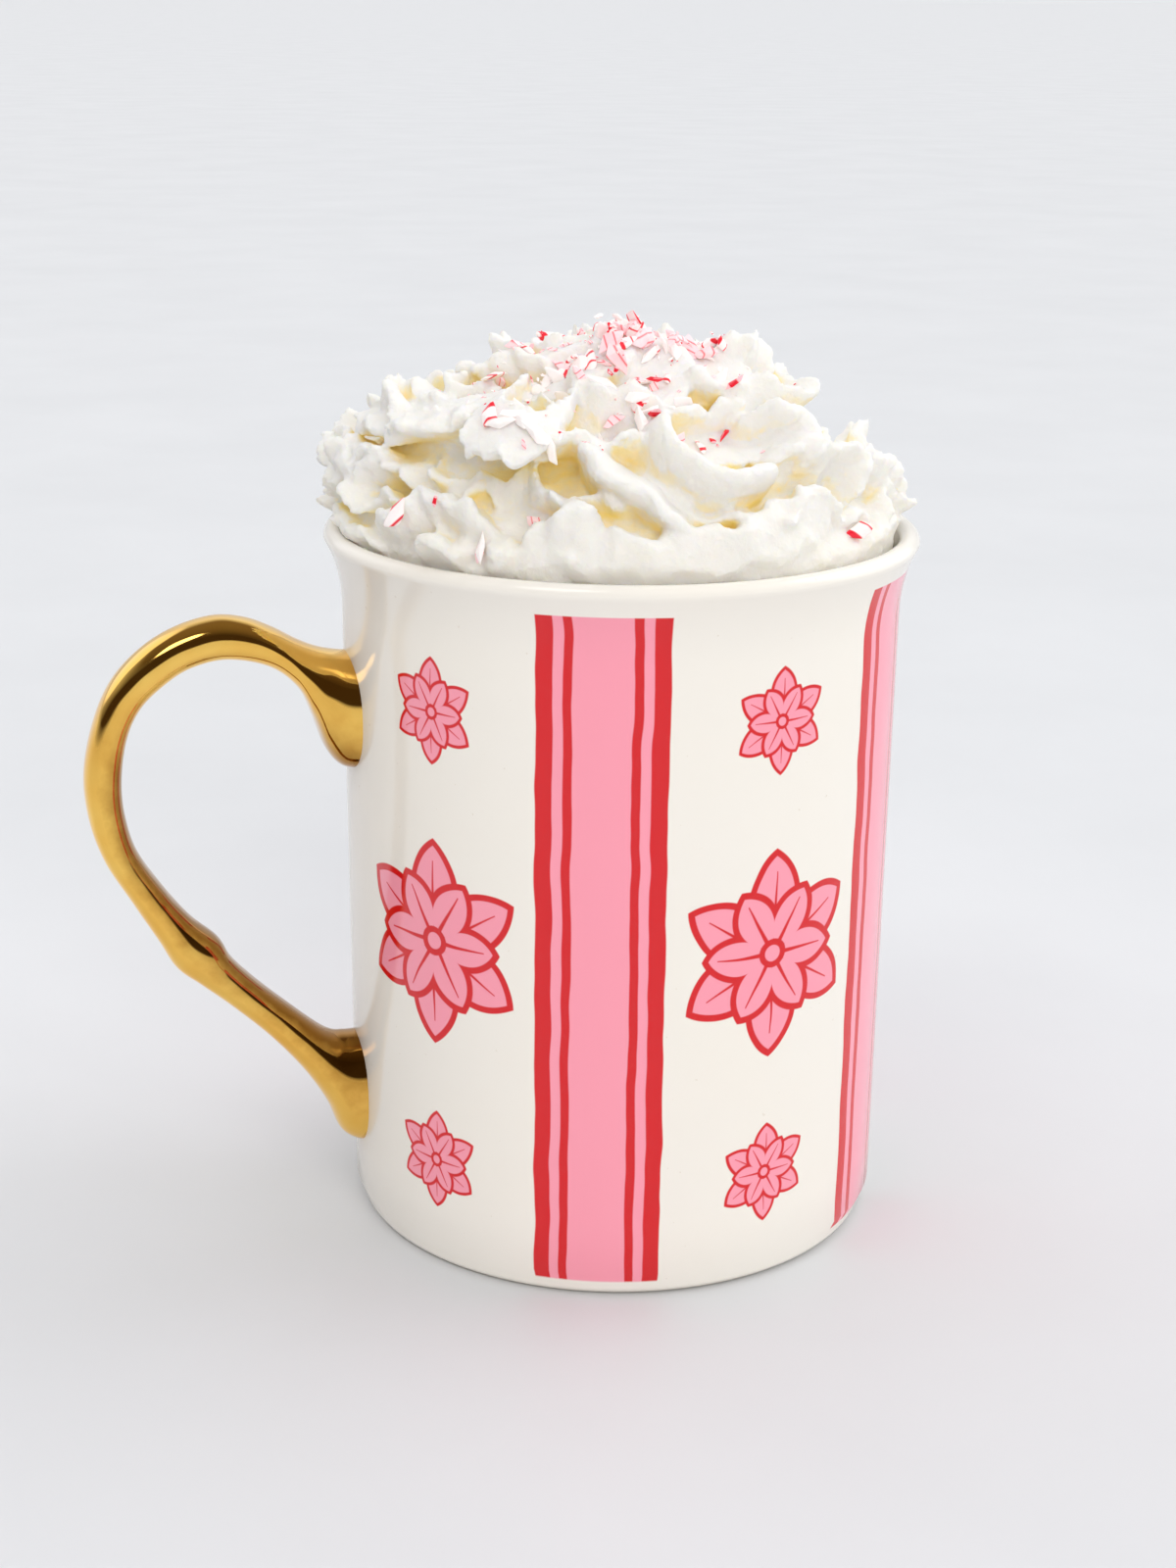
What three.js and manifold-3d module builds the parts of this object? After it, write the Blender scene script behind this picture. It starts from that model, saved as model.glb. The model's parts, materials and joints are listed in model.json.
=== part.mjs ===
// Hot chocolate in a ceramic mug, topped with a heap of whipped cream and crushed peppermint.
// Millimetres, +Z up. The origin is the centre of the mug's foot, and the handle points along -X.

import * as THREE from "three";
import { mergeVertices } from "three/addons/utils/BufferGeometryUtils.js";
import Module from "manifold-3d";

const wasm = await Module();
wasm.setup();

// Mug: a slightly tapered wall that flares out to a rolled lip.
const MUG_HEIGHT = 109;
const LIP_RADIUS = 45;
const LIP_THICKNESS = 3.2;
const NECK_RADIUS = 42.4;
const NECK_HEIGHT = 96.5;
const FOOT_RADIUS = 40.6;
const FOOT_ROUNDING = 1.6;
const WALL_BASE_RADIUS = 41.6;
const WALL_THICKNESS = 3.9;
const FLOOR_THICKNESS = 6.5;
const FLOOR_ROUNDING = 7;
const FLARE_POWER = 2.2;
const MUG_SEGMENTS = 52;

// Handle: stations from the upper root to the lower one, each [outer radius, outer height,
// inner radius, inner height, half width]. The knuckle is the thumb stop two thirds of the way down.
const HANDLE_STATIONS = [
  [40.2, 90.6, 40.2, 73.0, 8.8],
  [43.6, 90.9, 43.7, 73.7, 8.4],
  [46.6, 91.6, 46.0, 76.4, 7.4],
  [49.6, 92.9, 47.7, 81.2, 6.4],
  [53.2, 94.9, 49.9, 86.0, 5.6],
  [57.3, 96.6, 54.0, 89.4, 5.0],
  [62.0, 97.1, 60.2, 90.8, 4.7],
  [67.4, 95.7, 65.5, 89.8, 4.6],
  [72.4, 92.9, 69.4, 87.5, 4.6],
  [77.0, 88.3, 73.1, 84.0, 4.5],
  [80.0, 82.2, 75.3, 79.4, 4.5],
  [81.8, 74.5, 76.3, 73.3, 4.5],
  [81.5, 67.5, 76.1, 67.8, 4.4],
  [79.5, 60.7, 74.6, 61.8, 4.4],
  [75.8, 54.0, 71.3, 56.2, 4.3],
  [72.0, 47.4, 67.0, 50.5, 4.4],
  [69.5, 42.9, 62.8, 46.6, 4.8],
  [65.8, 39.7, 60.8, 43.1, 4.3],
  [60.9, 35.5, 57.0, 39.0, 4.1],
  [55.4, 30.2, 51.7, 34.2, 4.2],
  [50.5, 24.4, 47.6, 30.7, 4.9],
  [47.0, 18.8, 45.4, 29.4, 5.8],
  [45.0, 14.0, 43.6, 29.2, 6.6],
  [42.6, 12.0, 42.0, 29.2, 7.0],
  [39.8, 11.5, 39.8, 29.4, 7.2],
];
const HANDLE_STEPS = 40;
const HANDLE_SIDES = 12;
const HANDLE_SQUARENESS = 2.4;

// Contents: the drink stops below the rim, and the cream stands on it and heaps over the rim.
const CLEARANCE = 0.3;
const DRINK_LEVEL = 97;
const HEAP_POINTS = [
  [40.4, 110],
  [37.5, 114],
  [33, 119],
  [26, 124],
  [16, 128.5],
];
const HEAP_TOP = 131;
const HEAP_SEGMENTS = 36;
const CREAM_ROOT = new THREE.Vector3(0, 0, 103);

// Piped rope: one spiral laid round the rim and again above it, through stations [bearing, radius, height,
// thickness]. Bearings are degrees about the mug's axis from +X. Its section is a star whose fins wind
// round the rope, sway from side to side and rise and fall, as cream from a star nozzle does.
const ROPE_STATIONS = [
  [146, 33.5, 110.5, 8],
  [168, 34.8, 112.2, 12],
  [205, 32.2, 112.2, 12.4],
  [255, 30.8, 112.6, 12.2],
  [300, 31.2, 113, 12.4],
  [345, 32, 112.8, 12.6],
  [400, 31.6, 113, 12.2],
  [455, 31.2, 113.2, 12.2],
  [500, 32.4, 115.8, 12],
  [530, 32, 118.6, 11.6],
  [560, 27.5, 120.8, 11.2],
  [600, 22, 122, 11],
  [655, 20.4, 122.6, 11],
  [720, 20.4, 123.2, 11],
  [790, 19, 124.4, 10.6],
  [850, 16, 126.6, 10],
  [900, 11, 129, 8.5],
];
const ROPE_STEP = 4.9;
const ROPE_FINS = 6;
const ROPE_VALLEY = 0.52;
const ROPE_TWIST = -1.1;
const FIN_FLANK = [0.21, 0.6];
const FIN_SWAY = { angle: 13, wavelength: 19 };
const FIN_RISE = { share: 0.13, wavelength: 27 };
const FIN_PHASE = 137.5;
const RINGS_PER_STRETCH = 12;

// Folds that stand out from the rope: the crest of each runs through stations [bearing, radius, height].
// A fold is a blade that thickens from its crest down into the heap.
const FOLDS = [
  {
    crest: [[240, 26, 130], [248, 31, 127.5], [256, 36, 122], [264, 39.4, 117], [274, 41, 112.6]],
    lean: -3,
    thickness: 2.2,
  },
  {
    crest: [[262, 17, 135.5], [267, 23.5, 131.4], [273, 30, 125.6], [283, 36, 121.8], [296, 38.4, 123]],
    lean: 4.4,
    thickness: 1.6,
  },
  {
    crest: [[205, 35, 125.2], [217, 36.6, 127.6], [229, 36, 126], [239, 35.6, 121.8]],
    lean: 3.6,
    thickness: 1.5,
  },
  {
    crest: [[302, 40, 120], [314, 42.6, 122.4], [326, 43.6, 118.6], [338, 44.4, 112.4]],
    lean: 2.6,
    thickness: 1.6,
  },
];
const FOLD_DEPTH = 12;
const FOLD_STEP = 4;
const FOLD_END_DIP = 6;
const FOLD_END_SHARE = 0.35;
const FOLD_SECTION = [
  [0, -0.5],
  [0.35, -1.15],
  [1, -2],
  [1, 2],
  [0.35, 1.15],
  [0, 0.5],
];

// Crown: the last turn of cream, a star-shaped tuft that twists as it narrows.
const CROWN_LEVELS = [
  [122, 24],
  [129, 22],
  [132.6, 18.5],
  [135, 13.5],
  [136.8, 7.5],
  [137.6, 2.4],
];
const CROWN_FINS = 7;
const CROWN_FIN_DEPTH = 0.26;
const CROWN_TWIST = 14;

// Crushed peppermint: shards lie over the crown and down the near side, with a few strays by the rim.
const SHARD_SEED = 20;
const SHARD_COUNT = 46;
const SHARD_SPREAD = 27;
const SHARD_BEARING = 262;
const SHARD_OFFSET = 5;
const SHARD_LENGTH = [2, 5.2];
const SHARD_WIDTH_SHARE = [0.4, 0.75];
const SHARD_HEIGHT_SHARE = [0.25, 0.5];
const SHARD_CORNER_SHARE = [0.62, 1];
const SHARD_TILT = [-0.8, 0.8];
const STRAY_SHARDS = [
  [200.5, 42.4],
  [216, 41.4],
  [330, 42.6],
  [186, 34],
  [322, 33],
  [20, 38],
  [75, 41],
  [130, 37],
];
const SHARD_SINK = 0.35;

const GLAZE = { color: 0xf0ece4, roughness: 0.12, metalness: 0 };
const DRINK = { color: 0x4a2a1a, roughness: 0.25, metalness: 0 };
const CREAM = { color: 0xf8f3e4, roughness: 0.55, metalness: 0 };

/** A closed three.js geometry as a manifold-3d solid. */
function solidFrom(geometry) {
  const bare = geometry.clone();
  bare.deleteAttribute("normal");
  bare.deleteAttribute("uv");
  const merged = mergeVertices(bare, 1e-4);
  const solid = new wasm.Manifold(
    new wasm.Mesh({
      numProp: 3,
      vertProperties: merged.attributes.position.array,
      triVerts: new Uint32Array(merged.index.array),
    }),
  );
  return solid;
}

/** A manifold-3d solid as a three.js geometry. */
function geometryFrom(solid) {
  const { vertProperties, triVerts } = solid.getMesh();
  const geometry = new THREE.BufferGeometry();
  geometry.setAttribute("position", new THREE.BufferAttribute(vertProperties, 3));
  geometry.setIndex(new THREE.BufferAttribute(triVerts, 1));
  geometry.computeVertexNormals();
  return geometry;
}

/** The largest body of a solid, so that sealed hollows are filled and loose scraps are dropped. */
function outerBody(solid) {
  const bodies = solid.decompose();
  return bodies.reduce((best, body) => (body.volume() > best.volume() ? body : best));
}

/** A solid of revolution about +Z from [radius, height] points that run up the outside. */
function turned(profile, segments) {
  const points = profile.map(([radius, height]) => new THREE.Vector2(radius, height));
  return solidFrom(new THREE.LatheGeometry(points, segments).rotateX(Math.PI / 2));
}

/** A closed tube through rings of points, each end shut by a fan about its middle. */
function lofted(rings) {
  const sides = rings[0].length;
  const middle = (ring) => ring.reduce((sum, p) => sum.add(p), new THREE.Vector3()).divideScalar(sides);
  const points = [...rings.flat(), middle(rings[0]), middle(rings.at(-1))];
  const first = rings.length * sides;
  const lastRing = first - sides;
  const index = [];
  for (let side = 0; side < sides; side++) {
    const next = (side + 1) % sides;
    for (let ring = 0; ring < rings.length - 1; ring++) {
      const a = ring * sides;
      const b = a + sides;
      index.push(a + side, a + next, b + side, a + next, b + next, b + side);
    }
    index.push(first, next, side, first + 1, lastRing + side, lastRing + next);
  }
  const geometry = new THREE.BufferGeometry().setFromPoints(points);
  geometry.setIndex(index);
  const solid = solidFrom(geometry);
  if (solid.volume() > 0) return solid;
  geometry.setIndex(index.toReversed());
  return solidFrom(geometry);
}

/** A smooth curve through rows of up to three numbers. */
function curveThrough(rows) {
  return new THREE.CatmullRomCurve3(rows.map(([x, y = 0, z = 0]) => new THREE.Vector3(x, y, z)));
}

/** The point at a bearing in degrees, a radius and a height. */
function polar(bearing, radius, height) {
  const angle = THREE.MathUtils.degToRad(bearing);
  return new THREE.Vector3(radius * Math.cos(angle), radius * Math.sin(angle), height);
}

/** Repeatable numbers from 0 to 1. */
function seededRandom(seed) {
  let state = seed;
  return () => {
    state = (state * 16807) % 2147483647;
    return state / 2147483647;
  };
}

/** The wall's outer radius at a height, with the flare towards the lip. */
function outerRadius(height) {
  const up = Math.min(height / NECK_HEIGHT, 1);
  const flare = Math.max(height - NECK_HEIGHT, 0) / (MUG_HEIGHT - LIP_THICKNESS / 2 - NECK_HEIGHT);
  const wall = THREE.MathUtils.lerp(WALL_BASE_RADIUS, NECK_RADIUS, up);
  return wall + (LIP_RADIUS - NECK_RADIUS) * flare ** FLARE_POWER;
}

/** The cavity's radius at a height: the wall thins from its full thickness to the lip's. */
function innerRadius(height) {
  const thin = THREE.MathUtils.smoothstep(height, NECK_HEIGHT, MUG_HEIGHT - LIP_THICKNESS / 2);
  return outerRadius(height) - THREE.MathUtils.lerp(WALL_THICKNESS, LIP_THICKNESS, thin);
}

/** Evenly spaced numbers, both ends included. */
function spaced(from, to, count) {
  return Array.from({ length: count }, (_, i) => from + ((to - from) * i) / (count - 1));
}

/** Angles once round a circle in radians, the start not repeated. */
function roundAngles(count) {
  return spaced(0, 2 * Math.PI, count + 1).slice(0, -1);
}

/** Heights up the wall: one straight stretch, then closer steps through the flare. */
const wallHeights = [
  FLOOR_THICKNESS + FLOOR_ROUNDING,
  ...spaced(NECK_HEIGHT, MUG_HEIGHT - LIP_THICKNESS / 2, 6),
];

/** The cavity's [radius, height] points from the floor's middle up to a height, set in by a gap. */
function cavityProfile(top, gap) {
  const corner = innerRadius(FLOOR_THICKNESS + FLOOR_ROUNDING) - FLOOR_ROUNDING;
  const rounding = spaced(-Math.PI / 2, 0, 5).map((angle) => [
    corner + FLOOR_ROUNDING * Math.cos(angle) - gap,
    FLOOR_THICKNESS + FLOOR_ROUNDING * (1 + Math.sin(angle)) + gap,
  ]);
  const below = wallHeights.slice(1).filter((height) => height < top - 1);
  const wall = [...below, top].map((height) => [innerRadius(height) - gap, height]);
  return [[0, FLOOR_THICKNESS + gap], ...rounding, ...wall];
}

function handleSolid() {
  const outer = curveThrough(HANDLE_STATIONS.map(([radius, height]) => [-radius, 0, height]));
  const inner = curveThrough(HANDLE_STATIONS.map(([, , radius, height]) => [-radius, 0, height]));
  const width = curveThrough(HANDLE_STATIONS.map((station) => [station[4]]));
  const rounded = (value) => Math.sign(value) * Math.abs(value) ** (2 / HANDLE_SQUARENESS);
  const rings = spaced(0, 1, HANDLE_STEPS).map((along) => {
    const middle = outer.getPoint(along).lerp(inner.getPoint(along), 0.5);
    const reach = outer.getPoint(along).sub(middle);
    const side = new THREE.Vector3(0, width.getPoint(along).x, 0);
    return roundAngles(HANDLE_SIDES).map((angle) =>
      middle.clone()
        .addScaledVector(reach, rounded(Math.cos(angle)))
        .addScaledVector(side, rounded(Math.sin(angle))),
    );
  });
  return lofted(rings);
}

function mugSolid() {
  const foot = spaced(-Math.PI / 2, 0, 4).map((angle) => [
    FOOT_RADIUS - FOOT_ROUNDING * (1 - Math.cos(angle)),
    FOOT_ROUNDING * (1 + Math.sin(angle)),
  ]);
  const wall = wallHeights.map((height) => [outerRadius(height), height]);
  const lipHeight = MUG_HEIGHT - LIP_THICKNESS / 2;
  const lipMiddle = LIP_RADIUS - LIP_THICKNESS / 2;
  const lip = spaced(0, Math.PI, 7).slice(1, -1).map((angle) => [
    lipMiddle + (LIP_THICKNESS / 2) * Math.cos(angle),
    lipHeight + (LIP_THICKNESS / 2) * Math.sin(angle),
  ]);
  const cavity = cavityProfile(lipHeight, 0);
  const body = turned([[0, 0], ...foot, ...wall, ...lip, ...cavity.toReversed()], MUG_SEGMENTS);
  const hollow = turned([...cavity, [0, lipHeight]], MUG_SEGMENTS);
  return body.add(handleSolid().subtract(hollow));
}

function drinkSolid() {
  return turned([...cavityProfile(DRINK_LEVEL, CLEARANCE), [0, DRINK_LEVEL]], HEAP_SEGMENTS);
}

/** The star section at one place on the rope: a ring of points about its middle, four to a fin. */
function ropeRing([bearing, radius, height, thickness], run) {
  const middle = polar(bearing, radius, height);
  const wave = (length, fin) => Math.sin(THREE.MathUtils.degToRad((run / length) * 360 + fin * FIN_PHASE));
  const [flank, flankReach] = FIN_FLANK;
  return spaced(0, ROPE_FINS - 1, ROPE_FINS).flatMap((fin) => {
    const sway = FIN_SWAY.angle * wave(FIN_SWAY.wavelength, fin);
    const tip = thickness * (1 + FIN_RISE.share * wave(FIN_RISE.wavelength, -fin));
    const valley = thickness * ROPE_VALLEY;
    const section = [[-0.5, 0], [-flank, flankReach], [0, 1], [flank, flankReach]];
    return section.map(([share, reach]) => {
      const turn = (360 / ROPE_FINS) * (fin + share) + ROPE_TWIST * run + sway * reach;
      const out = THREE.MathUtils.lerp(valley, tip, reach);
      const side = polar(bearing, out * Math.cos(THREE.MathUtils.degToRad(turn)), 0);
      return side.add(middle).setZ(height + out * Math.sin(THREE.MathUtils.degToRad(turn)));
    });
  });
}

/** The piped rope, joined from stretches short enough not to run into themselves. */
function ropeSolid() {
  const spine = curveThrough(ROPE_STATIONS);
  const thickness = curveThrough(ROPE_STATIONS.map((station) => [station[3]]));
  const laid = curveThrough(ROPE_STATIONS.map((station) => polar(...station).toArray()));
  const length = laid.getLength();
  const count = Math.ceil(length / ROPE_STEP) + 1;
  const rings = spaced(0, 1, count).map((along) => {
    const { x: bearing, y: radius, z: height } = spine.getPoint(along);
    return ropeRing([bearing, radius, height, thickness.getPoint(along).x], along * length);
  });
  const stretches = [];
  for (let ring = 0; ring < rings.length - 1; ring += RINGS_PER_STRETCH) {
    stretches.push(lofted(rings.slice(ring, ring + RINGS_PER_STRETCH + 1)));
  }
  return wasm.Manifold.union(stretches);
}

/** One fold: a blade whose crest follows a curve and whose root widens towards the heap's middle. */
function foldSolid({ crest, lean, thickness }) {
  const curve = curveThrough(crest.map((station) => polar(...station).toArray()));
  const steps = Math.ceil(curve.getLength() / FOLD_STEP) + 1;
  const rings = spaced(0, 1, steps).map((along) => {
    const crestPoint = curve.getPoint(along);
    const inward = CREAM_ROOT.clone().sub(crestPoint).normalize();
    const top = crestPoint.addScaledVector(inward, FOLD_END_DIP * (1 - Math.sin(Math.PI * along)) ** 4);
    const across = new THREE.Vector3().crossVectors(curve.getTangent(along), inward).normalize();
    const taper = THREE.MathUtils.lerp(FOLD_END_SHARE, 1, Math.sin(Math.PI * along) ** 0.5);
    return FOLD_SECTION.map(([down, side]) => {
      const sideways = taper * (side * thickness + lean * (1 - down) ** 2);
      return top.clone().addScaledVector(inward, down * FOLD_DEPTH).addScaledVector(across, sideways);
    });
  });
  return lofted(rings);
}

function crownSolid() {
  const sides = CROWN_FINS * 4;
  const rings = CROWN_LEVELS.map(([height, radius], level) =>
    roundAngles(sides).map((angle) => {
      const valley = (1 - Math.cos(angle * CROWN_FINS)) / 2;
      const bearing = THREE.MathUtils.radToDeg(angle) + CROWN_TWIST * level;
      return polar(bearing, radius * (1 - CROWN_FIN_DEPTH * valley), height);
    }),
  );
  return lofted(rings);
}

/** The lip and outer wall grown by the clearance, which the cream keeps out of. */
function mugKeepOut() {
  const lipHeight = MUG_HEIGHT - LIP_THICKNESS / 2;
  const lipMiddle = LIP_RADIUS - LIP_THICKNESS / 2;
  const grown = LIP_THICKNESS / 2 + CLEARANCE;
  const lip = spaced(0, Math.PI, 9).map((angle) => [
    lipMiddle + grown * Math.cos(angle),
    lipHeight + grown * Math.sin(angle),
  ]);
  const heights = wallHeights.slice(1, -1);
  const inside = heights.toReversed().map((height) => [innerRadius(height) - CLEARANCE, height]);
  const outside = heights.map((height) => [outerRadius(height) + CLEARANCE, height]);
  const ring = [...outside, ...lip, ...inside];
  return turned([...ring, ring[0]], MUG_SEGMENTS);
}

/** One shard: a box whose corners are pushed about, turned and set into the cream. */
function shardSolid(place, random) {
  const between = ([low, high]) => THREE.MathUtils.lerp(low, high, random());
  const length = between(SHARD_LENGTH);
  const width = length * between(SHARD_WIDTH_SHARE);
  const height = length * between(SHARD_HEIGHT_SHARE);
  const geometry = new THREE.BoxGeometry(length, width, height);
  geometry.deleteAttribute("normal");
  geometry.deleteAttribute("uv");
  const box = mergeVertices(geometry);
  const corners = box.getAttribute("position");
  for (let corner = 0; corner < corners.count; corner++) {
    const point = new THREE.Vector3().fromBufferAttribute(corners, corner);
    const share = () => between(SHARD_CORNER_SHARE);
    corners.setXYZ(corner, point.x * share(), point.y * share(), point.z * share());
  }
  const turn = new THREE.Euler(between(SHARD_TILT), between(SHARD_TILT), between([0, 2 * Math.PI]));
  box.applyMatrix4(new THREE.Matrix4().makeRotationFromEuler(turn));
  box.translate(place.x, place.y, place.z + height * SHARD_SINK);
  return solidFrom(box);
}

/** Places on the cream from above: a cluster over the crown and the strays by the rim. */
function shardPlaces(cream, random) {
  const target = new THREE.Mesh(geometryFrom(cream));
  const caster = new THREE.Raycaster();
  const down = new THREE.Vector3(0, 0, -1);
  const middle = polar(SHARD_BEARING, SHARD_OFFSET, 0);
  const spots = Array.from({ length: SHARD_COUNT }, () => {
    const bearing = 360 * random();
    return polar(bearing, SHARD_SPREAD * random() ** 0.6, 0).add(middle);
  });
  const strays = STRAY_SHARDS.map(([bearing, radius]) => polar(bearing, radius, 0));
  return [...spots, ...strays].flatMap((spot) => {
    caster.set(spot.setZ(2 * MUG_HEIGHT), down);
    return caster.intersectObject(target).slice(0, 1).map((hit) => hit.point);
  });
}

function creamSolid() {
  const bottom = DRINK_LEVEL + CLEARANCE;
  const plug = spaced(bottom, MUG_HEIGHT - LIP_THICKNESS / 2, 4).map((height) => [
    innerRadius(height) - CLEARANCE,
    height,
  ]);
  const heap = turned([[0, bottom], ...plug, ...HEAP_POINTS, [0, HEAP_TOP]], HEAP_SEGMENTS);
  const piped = [ropeSolid(), crownSolid(), ...FOLDS.map(foldSolid)];
  const cream = outerBody(wasm.Manifold.union([heap, ...piped]).subtract(mugKeepOut()));
  const random = seededRandom(SHARD_SEED);
  const shards = shardPlaces(cream, random).map((place) => shardSolid(place, random));
  return outerBody(wasm.Manifold.union([cream, ...shards]).subtract(mugKeepOut()));
}

function piece(name, solid, finish) {
  const mesh = new THREE.Mesh(geometryFrom(solid), new THREE.MeshStandardMaterial(finish));
  mesh.name = name;
  return mesh;
}

const hotChocolate = new THREE.Group();
hotChocolate.add(
  piece("mug", mugSolid(), GLAZE),
  piece("hot_chocolate", drinkSolid(), DRINK),
  piece("whipped_cream", creamSolid(), CREAM),
);

export default hotChocolate;
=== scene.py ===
"""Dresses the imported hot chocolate.

A glazed mug with a gold handle holds the drink, under a heap of piped whipped cream strewn with crushed
peppermint. Sizes are in millimetres until a mesh is made, and every mesh is in metres in the part's own
frame: the origin is the centre of the mug's foot, +Z is up and the handle points along -X.
"""

import json
import logging
import math
from dataclasses import dataclass
from enum import Enum
from typing import Iterable, Iterator, Sequence, Union

import bmesh
import bpy
import numpy as np
from mathutils import Euler, Matrix, Vector
from mathutils.bvhtree import BVHTree

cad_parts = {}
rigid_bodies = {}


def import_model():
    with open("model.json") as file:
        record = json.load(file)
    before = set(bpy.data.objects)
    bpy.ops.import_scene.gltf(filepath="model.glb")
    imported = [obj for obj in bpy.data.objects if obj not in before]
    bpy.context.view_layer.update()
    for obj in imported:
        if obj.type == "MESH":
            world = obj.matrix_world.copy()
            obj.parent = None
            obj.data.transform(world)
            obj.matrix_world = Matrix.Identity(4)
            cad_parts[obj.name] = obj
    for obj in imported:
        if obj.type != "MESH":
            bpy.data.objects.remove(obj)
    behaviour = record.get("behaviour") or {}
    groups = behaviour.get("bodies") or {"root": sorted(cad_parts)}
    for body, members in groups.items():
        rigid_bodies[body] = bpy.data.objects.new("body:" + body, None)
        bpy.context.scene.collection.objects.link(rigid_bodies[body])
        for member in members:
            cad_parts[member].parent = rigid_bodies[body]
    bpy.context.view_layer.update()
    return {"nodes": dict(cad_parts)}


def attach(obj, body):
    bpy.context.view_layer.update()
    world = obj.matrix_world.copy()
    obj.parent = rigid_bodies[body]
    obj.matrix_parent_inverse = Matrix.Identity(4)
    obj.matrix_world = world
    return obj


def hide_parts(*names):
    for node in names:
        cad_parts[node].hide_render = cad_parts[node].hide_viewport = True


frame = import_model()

BODY = "root"
MM = 0.001
TINY = 1e-6
LOG = logging.getLogger("hot_chocolate")

Colour = tuple[float, float, float, float]


def linear(red: int, green: int, blue: int) -> Colour:
    """Turns a colour as seen on a screen into the linear colour that a shader takes.

    Args:
        red: Red, from 0 to 255.
        green: Green, from 0 to 255.
        blue: Blue, from 0 to 255.

    Returns:
        The linear colour with full opacity.
    """
    shares = (channel / 255.0 for channel in (red, green, blue))
    return (*(s / 12.92 if s <= 0.04045 else ((s + 0.055) / 1.055) ** 2.4 for s in shares), 1.0)


class Wire:
    """A node's output socket that takes part in Python arithmetic."""

    def __init__(self, graph: "Graph", socket: bpy.types.NodeSocket) -> None:
        """Keeps the graph, so that an expression can add nodes to it."""
        self.graph = graph
        self.socket = socket

    def __add__(self, other: "Value") -> "Wire":
        """This plus the other."""
        return self.graph.math("ADD", self, other)

    def __radd__(self, other: "Value") -> "Wire":
        """The other plus this."""
        return self.graph.math("ADD", other, self)

    def __sub__(self, other: "Value") -> "Wire":
        """This less the other."""
        return self.graph.math("SUBTRACT", self, other)

    def __rsub__(self, other: "Value") -> "Wire":
        """The other less this."""
        return self.graph.math("SUBTRACT", other, self)

    def __mul__(self, other: "Value") -> "Wire":
        """This times the other."""
        return self.graph.math("MULTIPLY", self, other)

    def __rmul__(self, other: "Value") -> "Wire":
        """The other times this."""
        return self.graph.math("MULTIPLY", other, self)

    def __truediv__(self, other: "Value") -> "Wire":
        """This over the other."""
        return self.graph.math("DIVIDE", self, other)

    def __rtruediv__(self, other: "Value") -> "Wire":
        """The other over this."""
        return self.graph.math("DIVIDE", other, self)

    def __pow__(self, other: "Value") -> "Wire":
        """This to the other's power."""
        return self.graph.math("POWER", self, other)

    def __mod__(self, other: "Value") -> "Wire":
        """What is left of this after whole multiples of the other, never negative."""
        return self.graph.math("FLOORED_MODULO", self, other)

    def __abs__(self) -> "Wire":
        """This without its sign."""
        return self.graph.math("ABSOLUTE", self)

    def sine(self) -> "Wire":
        """The sine of this angle."""
        return self.graph.math("SINE", self)

    def cosine(self) -> "Wire":
        """The cosine of this angle."""
        return self.graph.math("COSINE", self)

    def at_least(self, other: "Value") -> "Wire":
        """The larger of this and the other."""
        return self.graph.math("MAXIMUM", self, other)

    def at_most(self, other: "Value") -> "Wire":
        """The smaller of this and the other."""
        return self.graph.math("MINIMUM", self, other)

    def clipped(self) -> "Wire":
        """This held between 0 and 1."""
        return self.at_least(0.0).at_most(1.0)


Value = Union[Wire, float]


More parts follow.
